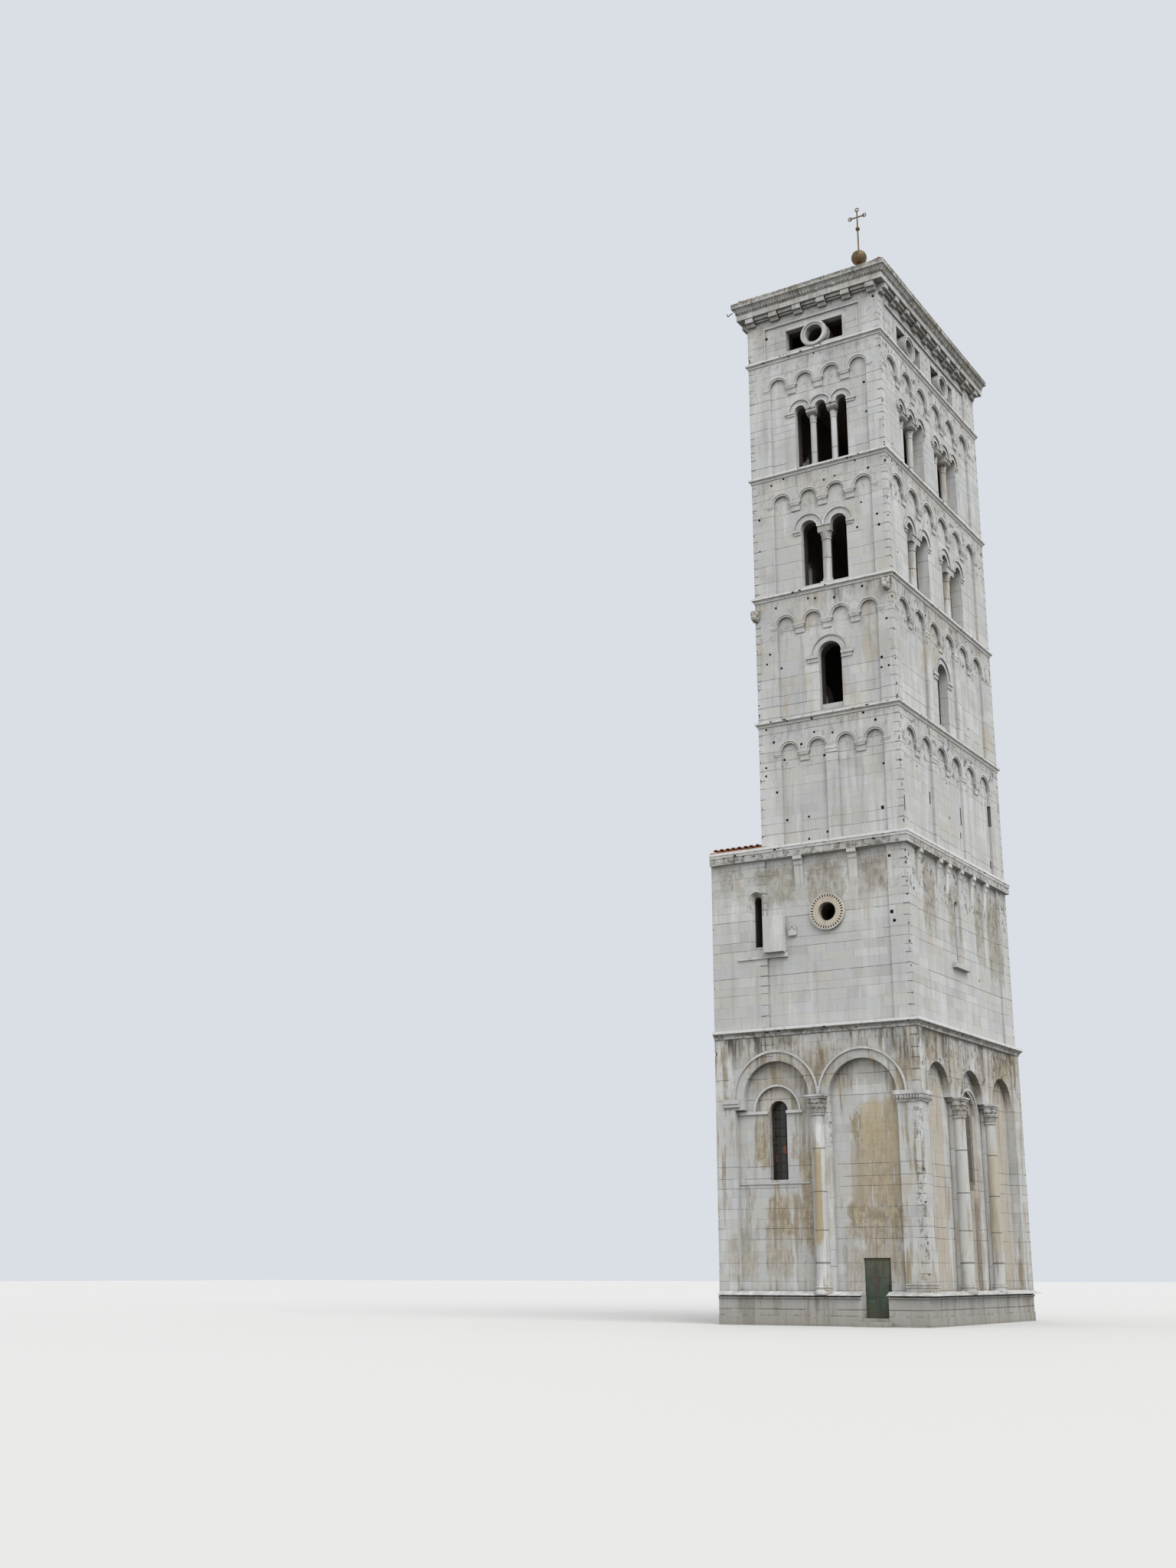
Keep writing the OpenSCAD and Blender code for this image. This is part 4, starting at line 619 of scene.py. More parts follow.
hollows = []
for along, level, size in frontHoles:
    for way in (-1, 1):
        centre = (-way * along, way * wall["halfDepth"], level)
        hollows.append(boxPoints(centre, (size / 2, holeDepth, size / 2)))
for along, level, size in rightHoles:
    for way in (1, -1):
        hollows.append(boxPoints((wallEnd(way, level), along, level), (holeDepth, size / 2, size / 2)))
for along, level, wide, tall in mossSlots:
    for way in (1, -1):
        hollows.append(boxPoints((wallEnd(way, level), along, level), (slotDepth, wide / 2, tall / 2)))
for k in range(chips["count"]):
    level = chips["low"] + (chips["high"] - chips["low"]) * (k + dice.random()) / chips["count"]
    for wayX, wayY in ((1, -1), (-1, -1), (1, 1), (-1, 1)):
        size = chips["small"] + (chips["large"] - chips["small"]) * dice.random() ** 2.2
        if dice.random() < chips["share"]:
            tall = size * dice.uniform(0.5, 1.6)
            place = (wallEnd(wayX, level), wall["halfDepth"] * wayY, level + dice.uniform(-0.3, 0.3))
            hollows.append(lumpPoints(place, size, tall))
for level in stringWear["levels"]:
    left = wall["baseLeft"] if level < wall["upperStringFrom"] else -wall["halfWidth"]
    for k in range(stringWear["each"] * 4):
        size = dice.uniform(stringWear["small"], stringWear["large"])
        high = level + dice.uniform(-0.09, 0.09)
        u = dice.uniform(-1, 1)
        way = 1 if k % 2 else -1
        if k % 4 < 2:
            x = left + (u + 1) / 2 * (wall["halfWidth"] - left)
            place = (x, way * (wall["halfDepth"] + stringWear["out"]), high)
        else:
            place = (way * (wall["halfWidth"] + stringWear["out"]), u * wall["halfDepth"], high)
        hollows.append(lumpPoints(place, size, size * stringWear["tall"]))


def addObject(name, data):
    made = bpy.data.objects.new(name, data)
    bpy.context.scene.collection.objects.link(made)
    return made


def meshOf(name, points, faces, finish):
    mesh = bpy.data.meshes.new(name)
    mesh.from_pydata([tuple(p) for p in points], [], faces)
    mesh.materials.append(finish)
    return addObject(name, mesh)


# changes a mesh through bmesh
def reshape(mesh, change):
    shell = bmesh.new()
    shell.from_mesh(mesh)
    change(shell)
    shell.to_mesh(mesh)
    shell.free()


def touches(points, low, high):
    return all(min(p[k] for p in points) < high[k] and max(p[k] for p in points) > low[k] for k in range(3))


# the ground storey stands a little wider than the storeys above, on a broader plinth
spread = {"wall": 0.08, "string": 0.06, "plinthSide": 0.22, "plinthFace": 0.14}
# only what lies beyond these places and below these levels moves out
beyond = {"plinthX": 2.4, "plinthY": 4.6, "stringX": 2.46, "windowX": 1.5, "windowHalf": 1.2, "wallX": 1.9}
under = {"wall": 8.6, "string": 8.9, "window": 8.5}
rightColumns = {"from": 0.6, "to": 2.3}
frontColumn = {"from": -1.35, "to": -0.2}


def spreadGround(mesh, name):
    for vert in mesh.vertices:
        x, y, z = vert.co
        if name == "plinth":
            vert.co.x += spread["plinthSide"] if x > beyond["plinthX"] else 0
            vert.co.y += math.copysign(spread["plinthFace"], y) if abs(y) > beyond["plinthY"] else 0
        elif name == "string_courses":
            vert.co.x += spread["string"] if z < under["string"] and x > beyond["stringX"] else 0
        elif name == "window_surrounds":
            byWindow = z < under["window"] and abs(y) < beyond["windowHalf"] and x > beyond["windowX"]
            vert.co.x += spread["wall"] if byWindow else 0
        elif x > beyond["wallX"] and z < under["string"]:
            vert.co.x += spread["wall"] if z < under["wall"] else spread["wall"] / 2


def isThinColumn(face):
    x, y, z = face.calc_center_median()
    onRight = x > 1.9 and rightColumns["from"] < abs(y) < rightColumns["to"]
    return onRight or frontColumn["from"] < x < frontColumn["to"]


def dropThinColumns(shell):
    bmesh.ops.delete(shell, geom=[face for face in shell.faces if isThinColumn(face)], context="FACES")


def weld(shell):
    bmesh.ops.remove_doubles(shell, verts=shell.verts, dist=0.00005)


def cutHollows(piece, mine):
    faces = []
    start = 0
    for points in mine:
        faces += [tuple(start + i for i in face) for face in (boxFaces if len(points) == 8 else lumpFaces)]
        start += len(points)
    # the cutter's dark stone goes onto the faces it cuts, as painted shade in the holes and chips
    cutter = meshOf("hollows", [p for points in mine for p in points], faces, holeShade)
    cut = piece.modifiers.new("hollows", "BOOLEAN")
    cut.operation = "DIFFERENCE"
    cut.solver = "EXACT"
    cut.use_self = True
    cut.material_mode = "TRANSFER"
    cut.object = cutter
    done = bpy.data.meshes.new_from_object(piece.evaluated_get(bpy.context.evaluated_depsgraph_get()))
    piece.modifiers.clear()
    piece.data = done
    bpy.data.objects.remove(cutter)


# a copy of a node with its holes and chips, which shows in the node's place
def wear(name):
    low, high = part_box(name)
    mine = [points for points in hollows if touches(points, low, high)]
    surrounds = name == "window_surrounds"
    if not mine and not surrounds:
        return
    piece = addObject("worn_" + name, nodes[name].data.copy())
    if not surrounds:
        reshape(piece.data, weld)
        if name == "half_columns":
            reshape(piece.data, dropThinColumns)
        cutHollows(piece, mine)
    if name.startswith("ground") or name in groundPieces:
        spreadGround(piece.data, name)
    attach(piece, "tower")
    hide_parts(name)


groundPieces = ("string_courses", "half_columns", "plinth", "window_surrounds")
for name in list(nodes):
    isWall = name.split("_")[0] in storeyFinish and name.endswith("wall")
    if isWall or name.startswith("ground_front_wall") or name in groundPieces:
        wear(name)
print("walls holed and chipped")


# a growing heap of corners and faces that becomes one piece
class Heap:
    def __init__(self):
        self.points = []
        self.faces = []

    def add(self, points, faces):
        start = len(self.points)
        self.points += [tuple(p) for p in points]
        self.faces += [tuple(start + i for i in face) for face in faces]

    # rows of points joined into a skin; closed joins each row's end to its start
    def skin(self, rows, closed=False, caps=False):
        wide = len(rows[0])
        last = wide if closed else wide - 1
        faces = []
        for r in range(len(rows) - 1):
            for c in range(last):
                d = (c + 1) % wide
                faces.append((r * wide + c, r * wide + d, (r + 1) * wide + d, (r + 1) * wide + c))
        if caps:
            faces.append(tuple(reversed(range(wide))))
            faces.append(tuple((len(rows) - 1) * wide + i for i in range(wide)))
        self.add([p for row in rows for p in row], faces)

    # a stone or plate with worn corners
    def block(self, centre, half, turn=0, wear=0.0):
        spin = Matrix.Rotation(turn, 3, "Z")
        points = []
        for sign in cornerSigns():
            corner = Vector([sign[k] * half[k] - sign[k] * dice.random() * wear for k in range(3)])
            points.append(Vector(centre) + spin @ corner)
        self.add(points, boxFaces)

    # a bar or roll from one place to another, of any radius at either end
    def bar(self, start, end, radius, endRadius=None, sides=8):
        start, end = Vector(start), Vector(end)
        turn = (end - start).to_track_quat("Z", "Y").to_matrix()
        rows = []
        for place, r in ((start, radius), (end, radius if endRadius is None else endRadius)):
            rows.append([place + turn @ Vector((r * math.cos(a), r * math.sin(a), 0)) for a in ring(sides)])
        self.skin(rows, closed=True, caps=True)

    # bars from each place in a list to the next
    def bent(self, places, radius, endRadius=None):
        for start, end in zip(places, places[1:]):
            self.bar(start, end, radius, endRadius)

    # a turned solid from its profile of radii and levels
    def turned(self, x, y, profile, steps=36):
        rows = []
        for r, level in profile:
            rows.append([(x + r * math.cos(a), y + r * math.sin(a), level) for a in ring(steps)])
        self.skin(rows, closed=True, caps=True)

    def make(self, name, finish, body="tower", bevel=0.0, smooth=False, thick=0.0):
        piece = meshOf(name, self.points, self.faces, finish)
        reshape(piece.data, lambda shell: bmesh.ops.recalc_face_normals(shell, faces=shell.faces))
        if thick:
            wrap = piece.modifiers.new("thickness", "SOLIDIFY")
            wrap.thickness = thick
            wrap.offset = 0
        if bevel:
            edges = piece.modifiers.new("wornEdges", "BEVEL")
            edges.width = bevel
            edges.segments = 2
            edges.limit_method = "ANGLE"
        if smooth:
            piece.data.shade_smooth()
        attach(piece, body)
        return piece


# evenly spaced angles round a circle
def ring(steps):
    return [i * math.tau / steps for i in range(steps)]


# for each side: the way it looks, its along direction, and its plane's distance from the middle
sides = {
    "front": (Vector((0, -1, 0)), Vector((1, 0, 0)), wall["halfDepth"]),
    "back": (Vector((0, 1, 0)), Vector((1, 0, 0)), wall["halfDepth"]),
    "right": (Vector((1, 0, 0)), Vector((0, 1, 0)), wall["halfWidth"]),
    "left": (Vector((-1, 0, 0)), Vector((0, 1, 0)), wall["halfWidth"])}
upright = Vector((0, 0, 1))


def onSide(side, along, out, level):
    outward, sideways, plane = sides[side]
    return outward * (plane + out) + sideways * along + Vector((0, 0, level))


# a level direction from its angle
def heading(degrees):
    return Vector((math.cos(math.radians(degrees)), math.sin(math.radians(degrees)), 0))


# acanthus leaf on a bell: it hugs the stone, then curls out and over
def leaf(heap, centre, degrees, foot, crown, low, tall, wide, curl):
    rows = []
    for i in range(9):
        t = i / 8
        bend = max(0, t - 0.62) / 0.38
        radius = foot + (crown - foot) * t + 0.012 + curl * bend ** 1.5
        level = low + tall * (t - 0.22 * bend ** 2.4)
        splay = wide / 2 * (math.sin(math.pi * (0.2 + 0.78 * t)) ** 0.7) * (1 + 0.16 * math.cos(t * 25))
        row = []
        for j in (-2, -1, 0, 1, 2):
            turn = math.radians(degrees) + j / 2 * splay / radius
            push = radius + (0.3 if j == 0 else -0.25 if abs(j) == 1 else 0.05) * wide * 0.16
            row.append((centre[0] + push * math.cos(turn), centre[1] + push * math.sin(turn),
                        level - abs(j) * 0.036 * tall))
        rows.append(row)
    heap.skin(rows)


# a scroll under the corner of an abacus
def scroll(heap, place, outward, size, wide):
    across = outward.cross(upright) * wide / 2
    rows = []
    for i in range(15):
        turn = i / 14 * math.pi * 2.6 + 1.2
        way = outward * math.cos(turn) + upright * math.sin(turn)
        mid = place + way * (size * (1 - i / 18))
        thick = way * (size * 0.13)
        rows.append([mid - across - thick, mid + across - thick, mid + across + thick,
                     mid - across + thick])
    heap.skin(rows, closed=True, caps=True)


# the columns of the ground storey; the base goes by the foot's radius, the bell by steps out from the neck
columnPlans = {
    "front": {"middle": (-0.8, -4.56), "facing": -90, "foot": 0.235, "neck": 0.195, "abacus": 0.31},
    "back": {"middle": (-0.8, 4.56), "facing": 90, "foot": 0.235, "neck": 0.195, "abacus": 0.31},
    "rightNear": {"middle": (2.5, -1.43), "facing": 0, "foot": 0.212, "neck": 0.18, "abacus": 0.235},
    "rightFar": {"middle": (2.47, 1.43), "facing": 0, "foot": 0.19, "neck": 0.165, "abacus": 0.22}}
columnBase = (
    (1.2, 0), (1.24, 0.03), (1.24, 0.085), (1.18, 0.115), (1.08, 0.13), (1.05, 0.165), (1.12, 0.19),
    (1.15, 0.22), (1.12, 0.25), (1.03, 0.265), (1.02, 0.31))
columnBell = (
    (0.03, 6.085), (0.04, 6.11), (0.03, 6.135), (0, 6.14), (0.02, 6.3), (0.06, 6.45), (0.055, 6.59))
column = {"low": 0.88, "baseTall": 0.31, "neckAt": 6.08, "crownOut": 0.055}
capital = {
    "foot": 6.14, "tall": 0.45, "leafWide": 0.15, "curl": 0.06, "deep": 0.5,
    "slabs": ((6.585, 6.64, 0), (6.64, 6.699, 0.035)), "scrollAt": 6.52, "rosetteAt": 6.555}
leaves = Heap()
scrolls = Heap()
shafts = Heap()
for plan in columnPlans.values():
    (x, y), facing, foot, neck = plan["middle"], plan["facing"], plan["foot"], plan["neck"]
    crown = neck + column["crownOut"]
    base = [(foot * share, column["low"] + level) for share, level in columnBase]
    shaftLow = column["low"] + column["baseTall"]
    swell = [(foot + (neck - foot) * t ** 1.4, shaftLow + t * (column["neckAt"] - shaftLow))
             for t in (0.02, 0.2, 0.4, 0.6, 0.8, 1)]
    shafts.turned(x, y, base + swell + [(neck + out, level) for out, level in columnBell])
    way = heading(facing)
    across = way.cross(upright)
    for low, high, grow in capital["slabs"]:
        front = crown + 0.01 + grow
        middle = Vector((x, y, (low + high) / 2)) + way * (front - capital["deep"]) / 2
        halfDeep = (front + capital["deep"]) / 2
        halfWide = plan["abacus"] + grow
        half = [abs(way[k]) * halfDeep + abs(across[k]) * halfWide for k in (0, 1)]
        shafts.block(middle, (*half, (high - low) / 2), 0, 0.006)
    for k in range(-3, 4):
        leaf(leaves, (x, y), facing + k * 36, neck, neck + 0.06, capital["foot"],
             capital["tall"] * 0.55, capital["leafWide"], capital["curl"])
    for k in (-2.5, -1.5, -0.5, 0.5, 1.5, 2.5):
        leaf(leaves, (x, y), facing + k * 36, neck, crown - 0.02, capital["foot"] + 0.05,
             capital["tall"] * 0.82, capital["leafWide"], capital["curl"])
    for k in (-1, 1):
        out = heading(facing + k * 45)
        scroll(scrolls, Vector((x, y, capital["scrollAt"])) + out * crown, out, 0.062, 0.07)
    for k in (-1, 0, 1):
        tip = Vector((x, y, capital["rosetteAt"])) + way * (crown + 0.01) + across * 0.05 * k
        scrolls.bar(tip - way * 0.03, tip + way * (0.02 if k else 0.03), 0.026, 0.014)
fullColumns = shafts.make("groundColumns", columnStone)
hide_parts("half_columns")

# flat strips of wall that the columns stand against: centre and half sizes across the ground
stripPlans = (
    ((-0.76, -4.455), (0.312, 0.11)), ((-0.76, 4.455), (0.312, 0.11)), ((2.28, -1.43), (0.08, 0.12)),
    ((2.28, 1.43), (0.08, 0.12)))
strips = Heap()
for middle, half in stripPlans:
    strips.block((*middle, 3.78), (*half, 2.915))
strips.make("columnStrips", stripStone, bevel=0.008)
leaves.make("capitalLeaves", carvedStone, smooth=True, thick=0.014)

# sloping ledge on the plinth, broken at the doorway
ledge = {
    "top": 0.975, "edge": 0.868, "low": 0.86, "left": wall["baseLeft"] + 0.005,
    "right": wall["halfWidth"] + 0.02, "in": wall["halfDepth"] - 0.03, "doorLeft": 0.415,
    "doorRight": 1.23, "outRight": wall["halfWidth"] + 0.05 + spread["plinthSide"],
    "out": wall["halfDepth"] + 0.05 + spread["plinthFace"]}
ledgeFaces = ((0, 1, 2, 3), (7, 6, 5, 4), (0, 3, 7, 4), (1, 5, 6, 2), (3, 2, 6, 7), (0, 4, 5, 1))
ledges = Heap()


# one run of the ledge, from its inner edge and outer edge on the ground plan
def layLedge(inner, outer):
    rim = [(*p, ledge["top"]) for p in inner] + [(*p, ledge["edge"]) for p in outer]
    ledges.add(rim + [(x, y, ledge["low"]) for x, y, z in rim], ledgeFaces)


for way, runs in ((-1, (("left", "doorLeft"), ("doorRight", "right"))), (1, (("left", "right"),))):
    for start, end in runs:
        outEnd = ledge["outRight" if end == "right" else end]
        layLedge([(ledge[start], way * ledge["in"]), (ledge[end], way * ledge["in"])],
                 [(outEnd, way * ledge["out"]), (ledge[start], way * ledge["out"])])
layLedge([(ledge["right"], -ledge["in"]), (ledge["right"], ledge["in"])],
         [(ledge["outRight"], ledge["out"]), (ledge["outRight"], -ledge["out"])])
ledges.make("plinthLedge", ledgeStone, bevel=0.012)
scrolls.make("capitalScrolls", carvedStone, bevel=0.006)

# small leafy capitals of the window colonnettes: capital's top, shaft radius, places along the sides
bifora = {"top": 25.08, "radius": 0.098, "wide": (0.11,), "deep": (-1.87, 1.31)}
trifora = {"top": 29.443, "radius": 0.085, "wide": (-0.205, 0.545), "deep": (-2.3, -1.43, 0.88, 1.75)}
bead = {"out": 1.1, "radius": 0.014, "below": 0.24, "shaftIn": -0.342}
lightCapitals = Heap()
lightBeads = Heap()
for storey in (bifora, trifora):
    r, top = storey["radius"], storey["top"]
    for side in sides:
        for along in storey["wide" if side in ("front", "back") else "deep"]:
            middle = onSide(side, along, bead["shaftIn"], 0)
            for k in range(8):
                leaf(lightCapitals, middle, k * 45, r, r * 1.2, top - 0.225, 0.12, 0.085, 0.028)
            for k in range(4):
                leaf(lightCapitals, middle, 45 + k * 90, r, r * 1.5, top - 0.2, 0.2, 0.1, 0.05)
            rows = []
            for a in ring(16) + [math.tau]:
                outs = [(r * bead["out"] + bead["radius"] * math.cos(b), bead["radius"] * math.sin(b))
                        for b in ring(6)]
                rows.append([(middle[0] + out * math.cos(a), middle[1] + out * math.sin(a),
                              top - bead["below"] + up)
                             for out, up in outs])
            lightBeads.skin(rows, closed=True)
lightCapitals.make("colonnetteLeaves", carvedStone, smooth=True, thick=0.008)
lightBeads.make("colonnetteNecks", carvedStone, smooth=True)


# a small upright leaf from rows of half width, distance out and level, with a ridge down its middle
def smallLeaf(heap, side, along, rows, ridge, edge=0.0, limit=1.0):
    heap.skin([[onSide(side, along + s * half, min(out + (edge if s else ridge), limit), level)
                for s in (-1, 0, 1)] for half, out, level in rows])


# leaf strokes on the pier cap at the near corner
capStroke = {"count": 11, "low": 6.375, "tall": 0.135, "wide": 0.026, "ridge": 0.014}
strokes = Heap()
for side, start, end, moved in (("front", 1.7, 2.5, 0), ("right", -4.56, -3.9, spread["wall"])):
    for k in range(capStroke["count"]):
        along = start + (end - start) * (k + 0.5) / capStroke["count"]
        rows = [(capStroke["wide"] * math.sin(math.pi * (0.25 + 0.7 * t)), 0.012 + 0.075 * t ** 1.6 + moved,
                 capStroke["low"] + capStroke["tall"] * t) for t in (0, 0.2, 0.4, 0.6, 0.8, 1)]
        smallLeaf(strokes, side, along, rows, capStroke["ridge"])
strokes.make("cornerCapLeaves", carvedStone, smooth=True, thick=0.012)
print("capitals carved")

# the cornice: two rolled ends below each bracket, trays between brackets, leaves on the crown's hollow
cornice = {
    "fascia": 33.523, "crown": 33.738, "top": 34.159, "pitch": 0.105, "leafReach": 0.3, "leafOut": 0.413,
    "bracketHalf": 0.157, "rollEnd": 0.009, "bracketGap": 0.17, "trayHigh": 0.11, "trayOut": 0.19}
bracketRolls = ((33.262, 0.075, 0.036), (33.372, 0.208, 0.04))
crownLeaf = ((0.1, 0.312), (0.3, 0.325), (0.42, 0.352), (0.5, 0.386), (0.56, 0.425))
trays = Heap()
ribs = Heap()
rolls = Heap()
for side in sides:
    wide = side in ("front", "back")
    reach, count = (2.243, 6) if wide else (4.34, 10)
    turn = 0 if wide else math.pi / 2
    places = [-reach + 2 * reach * k / (count - 1) for k in range(count)]
    for k, along in enumerate(places):
        half = cornice["bracketHalf"]
        for low, out, r in bracketRolls:
            rolls.bar(onSide(side, along - half, out, low), onSide(side, along + half, out, low), r, r, 14)
            for end in (-1, 1):
                tip = half + cornice["rollEnd"]
                rolls.bar(onSide(side, along + end * half, out, low),
                          onSide(side, along + end * tip, out, low),
                          r * 0.55, r * 0.3, 10)
        if k == 0:
            continue
        middle = (along + places[k - 1]) / 2
        gap = (along - places[k - 1]) / 2 - cornice["bracketGap"]
        high = cornice["trayHigh"] * dice.uniform(0.9, 1.1)
        out, level = cornice["trayOut"] / 2, cornice["fascia"] - high / 2
        trays.block(onSide(side, middle, out, level), (gap, out, high / 2), turn, 0.008)
        out, level = cornice["trayOut"] * 0.28, cornice["fascia"] - high - 0.03
        trays.block(onSide(side, middle, out, level), (gap * 0.97, out, 0.03), turn, 0.006)
    reach = (wall["halfWidth"] if wide else wall["halfDepth"]) + cornice["leafReach"]
    for k in range(int(reach * 2 / cornice["pitch"])):
        # a leaf is gone here and there
        if dice.random() < 0.07:
            continue
        rows = [(cornice["pitch"] * 0.4 * (1 - 0.25 * t), out,
                 cornice["crown"] + t * (cornice["top"] - cornice["crown"])) for t, out in crownLeaf]
        smallLeaf(ribs, side, -reach + (k + 0.5) * cornice["pitch"], rows, 0.012, -0.012,
                  cornice["leafOut"])
trays.make("corniceTrays", corniceStone, bevel=0.008)
rolls.make("bracketRolls", corniceStone)
ribs.make("crownLeaves", corniceStone, smooth=True, thick=0.01)

# bent iron hooks at the crown's left corners
hookBends = ((-2.83, 33.86), (-2.93, 33.84), (-3.0, 33.78), (-3.04, 33.83), (-3.03, 33.89))
hooks = Heap()
for y in (-4.9, 4.9):
    hooks.bent([Vector((x, y, z)) for x, z in hookBends], 0.016, 0.014)
hooks.make("corniceHooks", iron, smooth=True)
print("cornice carved")

# half round tiles laid in rows over the roofs
tile = {"pitch": 0.21, "length": 0.42, "radius": 0.078, "lift": 0.012, "overlap": 1.12, "shortest": 0.12}
roof = {"halfWidth": 2.671, "halfDepth": 4.821, "low": 34.159, "rise": 3.1}
wing = {"left": -4.262, "right": -2.44, "low": 14.66, "rise": 0.7, "halfDepth": 4.64, "ridge": 15.365}
roofTiles = Heap()


def tileRow(foot, up, length, across, normal):
    for k in range(max(1, int(length / tile["length"] + 0.5))):
        slip = dice.uniform(-0.02, 0.02)
        start = foot + up * (k * tile["length"] + slip) + across * dice.uniform(-0.008, 0.008)
        long = min(tile["length"] * tile["overlap"], length - k * tile["length"] + 0.03)
        if long < tile["shortest"]:
            continue
        rows = []
        for t, r, lift in ((0, tile["radius"], 0.022), (1, tile["radius"] * 0.8, 0.004)):
            place = start + up * long * t + normal * (tile["lift"] + lift)
            rows.append([place + across * r * math.cos(a) + normal * r * 0.72 * math.sin(a)
                         for a in (i * math.pi / 6 for i in range(7))])
        roofTiles.skin(rows)
        roofTiles.skin([rows[0], [p - normal * 0.012 for p in rows[0]]])


for side in ("front", "back", "right", "left"):
    outward, sideways, plane = sides[side]
    wide = side in ("front", "back")
    half, run = (roof["halfWidth"], roof["halfDepth"]) if wide else (roof["halfDepth"], roof["halfWidth"])
    up = (-outward * run + upright * roof["rise"]).normalized()
    normal = sideways.cross(up)
    normal = normal if normal.z > 0 else -normal
    count = int(2 * half / tile["pitch"])
    for k in range(count):
        along = (k + 0.5 - count / 2) * tile["pitch"]
        length = math.hypot(run, roof["rise"]) * (1 - abs(along) / half) - 0.12
        if length > 0.15:
            foot = outward * run + sideways * along + upright * roof["low"] + up * 0.02
            tileRow(foot, up, length, sideways, normal)
# the four hips
for sx in (-1, 1):
    for sy in (-1, 1):
        corner = Vector((sx * roof["halfWidth"], sy * roof["halfDepth"], roof["low"]))
        up = upright * (roof["low"] + roof["rise"]) - corner
        length = up.length - 0.45
        up.normalize()
        across = up.cross(upright).normalized()
        normal = across.cross(up)
        normal = normal if normal.z > 0 else -normal
        tileRow(corner + up * 0.12 + upright * 0.035, up, length, across, normal)
# the small roof at the left, and its ridge
for way in (-1, 1):
    up = Vector((0, -way * wing["halfDepth"], wing["rise"])).normalized()
    normal = Vector((0, way * wing["rise"], wing["halfDepth"])).normalized()
    count = int((wing["right"] - wing["left"]) / tile["pitch"])
    for k in range(count):
        x = wing["left"] + 0.09 + (k + 0.5) * (wing["right"] - wing["left"] - 0.1) / count
        tileRow(Vector((x, way * (wing["halfDepth"] - 0.01), wing["low"])), up, 4.6, Vector((1, 0, 0)),
                normal)
tileRow(Vector((wing["left"] + 0.02, 0, wing["ridge"])), Vector((1, 0, 0)), 1.75, Vector((0, 1, 0)),
        upright)
roofTiles.make("roofTiles", roofTile, thick=0.014)
print("roof tiled")

# glazed ground windows: iron bars in an arched iron frame with dusty panes
glazing = {
    "radius": 0.31, "sill": 4.234, "spring": 6.315, "out": -0.595, "rows": 9, "columns": 3,
    "frame": 0.022, "frameIn": 0.012, "row": 0.009, "column": 0.008}
bars = Heap()
panes = Heap()
for side, middle in (("front", -2.267), ("right", 0.0), ("back", -2.267)):
    radius, sill, spring = glazing["radius"], glazing["sill"], glazing["spring"]
    r = radius - glazing["frameIn"]
    foot = sill + glazing["frameIn"]
    arch = [(r * math.cos(a), spring + r * math.sin(a))
            for a in (math.pi - i * math.pi / 16 for i in range(17))]
    outline = [(-r, foot)] + arch + [(r, foot)]
    edge = [onSide(side, middle + u, glazing["out"], v) for u, v in outline]
    bars.bent(edge + edge[:1], glazing["frame"])
    for k in range(1, glazing["rows"]):
        level = sill + k * (spring + radius - sill) / glazing["rows"]
        half = math.sqrt(radius ** 2 - max(0, level - spring) ** 2) - 0.01
        bars.bar(onSide(side, middle - half, glazing["out"], level),
                 onSide(side, middle + half, glazing["out"], level), glazing["row"])
    for k in range(1, glazing["columns"]):
        u = radius * (2 * k / glazing["columns"] - 1)
        top = spring + math.sqrt(radius ** 2 - u ** 2)
        bars.bar(onSide(side, middle + u, glazing["out"], sill + 0.01),
                 onSide(side, middle + u, glazing["out"], top - 0.01), glazing["column"])
    panes.add([onSide(side, middle + u, glazing["out"] - 0.012, v) for u, v in outline],
              [range(len(outline))])
bars.make("windowBars", iron, smooth=True)
panes.make("windowPanes", dustyGlass, thick=0.006)
print("windows glazed")

# the green sheet door: folded rim, lapped sheets, rivets, lock and pull
door = {
    "left": 0.4215, "right": 1.2225, "low": 0.25, "high": 1.91, "face": -4.286, "rim": 0.03,
    "proud": 0.007, "rivetStep": 0.11, "rivet": 0.0065, "rivetHead": 0.003, "pull": 0.006,
    "lockFrom": 0.075}
pullBends = ((0.01, 1.12), (0.035, 1.125), (0.038, 1.16), (0.038, 1.21), (0.035, 1.245), (0.008, 1.25))
doorMiddle = (door["left"] + door["right"]) / 2
stiles = (door["left"] + 0.035, doorMiddle, door["right"] - 0.02)
face, proud, lockX = door["face"], door["proud"], door["right"] - door["lockFrom"]
rim = Heap()
rivets = Heap()
fittings = Heap()
for x in stiles:
    rim.block((x, face - proud / 2, (door["low"] + door["high"]) / 2),
              (door["rim"] / 2, proud / 2, (door["high"] - door["low"]) / 2 - 0.006))
for z in (door["low"] + 0.022, 0.83, 1.38, door["high"] - 0.022):
    rim.block((doorMiddle, face - proud / 2, z),
              ((door["right"] - door["left"]) / 2 - 0.02, proud / 2 + 0.001, door["rim"] / 2))
for x in stiles:
    z = door["low"] + 0.06
    while z < door["high"] - 0.04:
        rivets.bar((x, face - proud + 0.002, z), (x, face - proud - 0.004, z), door["rivet"],
                   door["rivetHead"])
        z += door["rivetStep"]
fittings.block((lockX, face - 0.009, 1.07), (0.028, 0.004, 0.075))
fittings.bar((lockX, face - 0.012, 1.03), (lockX, face - 0.015, 1.03), 0.009, 0.008, 12)
fittings.bent([Vector((lockX, face - out, z)) for out, z in pullBends], door["pull"])
rim.make("doorRim", doorPaint, "door_leaf", bevel=0.002)
rivets.make("doorRivets", doorPaint, "door_leaf", smooth=True)
fittings.make("doorLockAndPull", iron, "door_leaf", bevel=0.0015)
print("door fitted out")

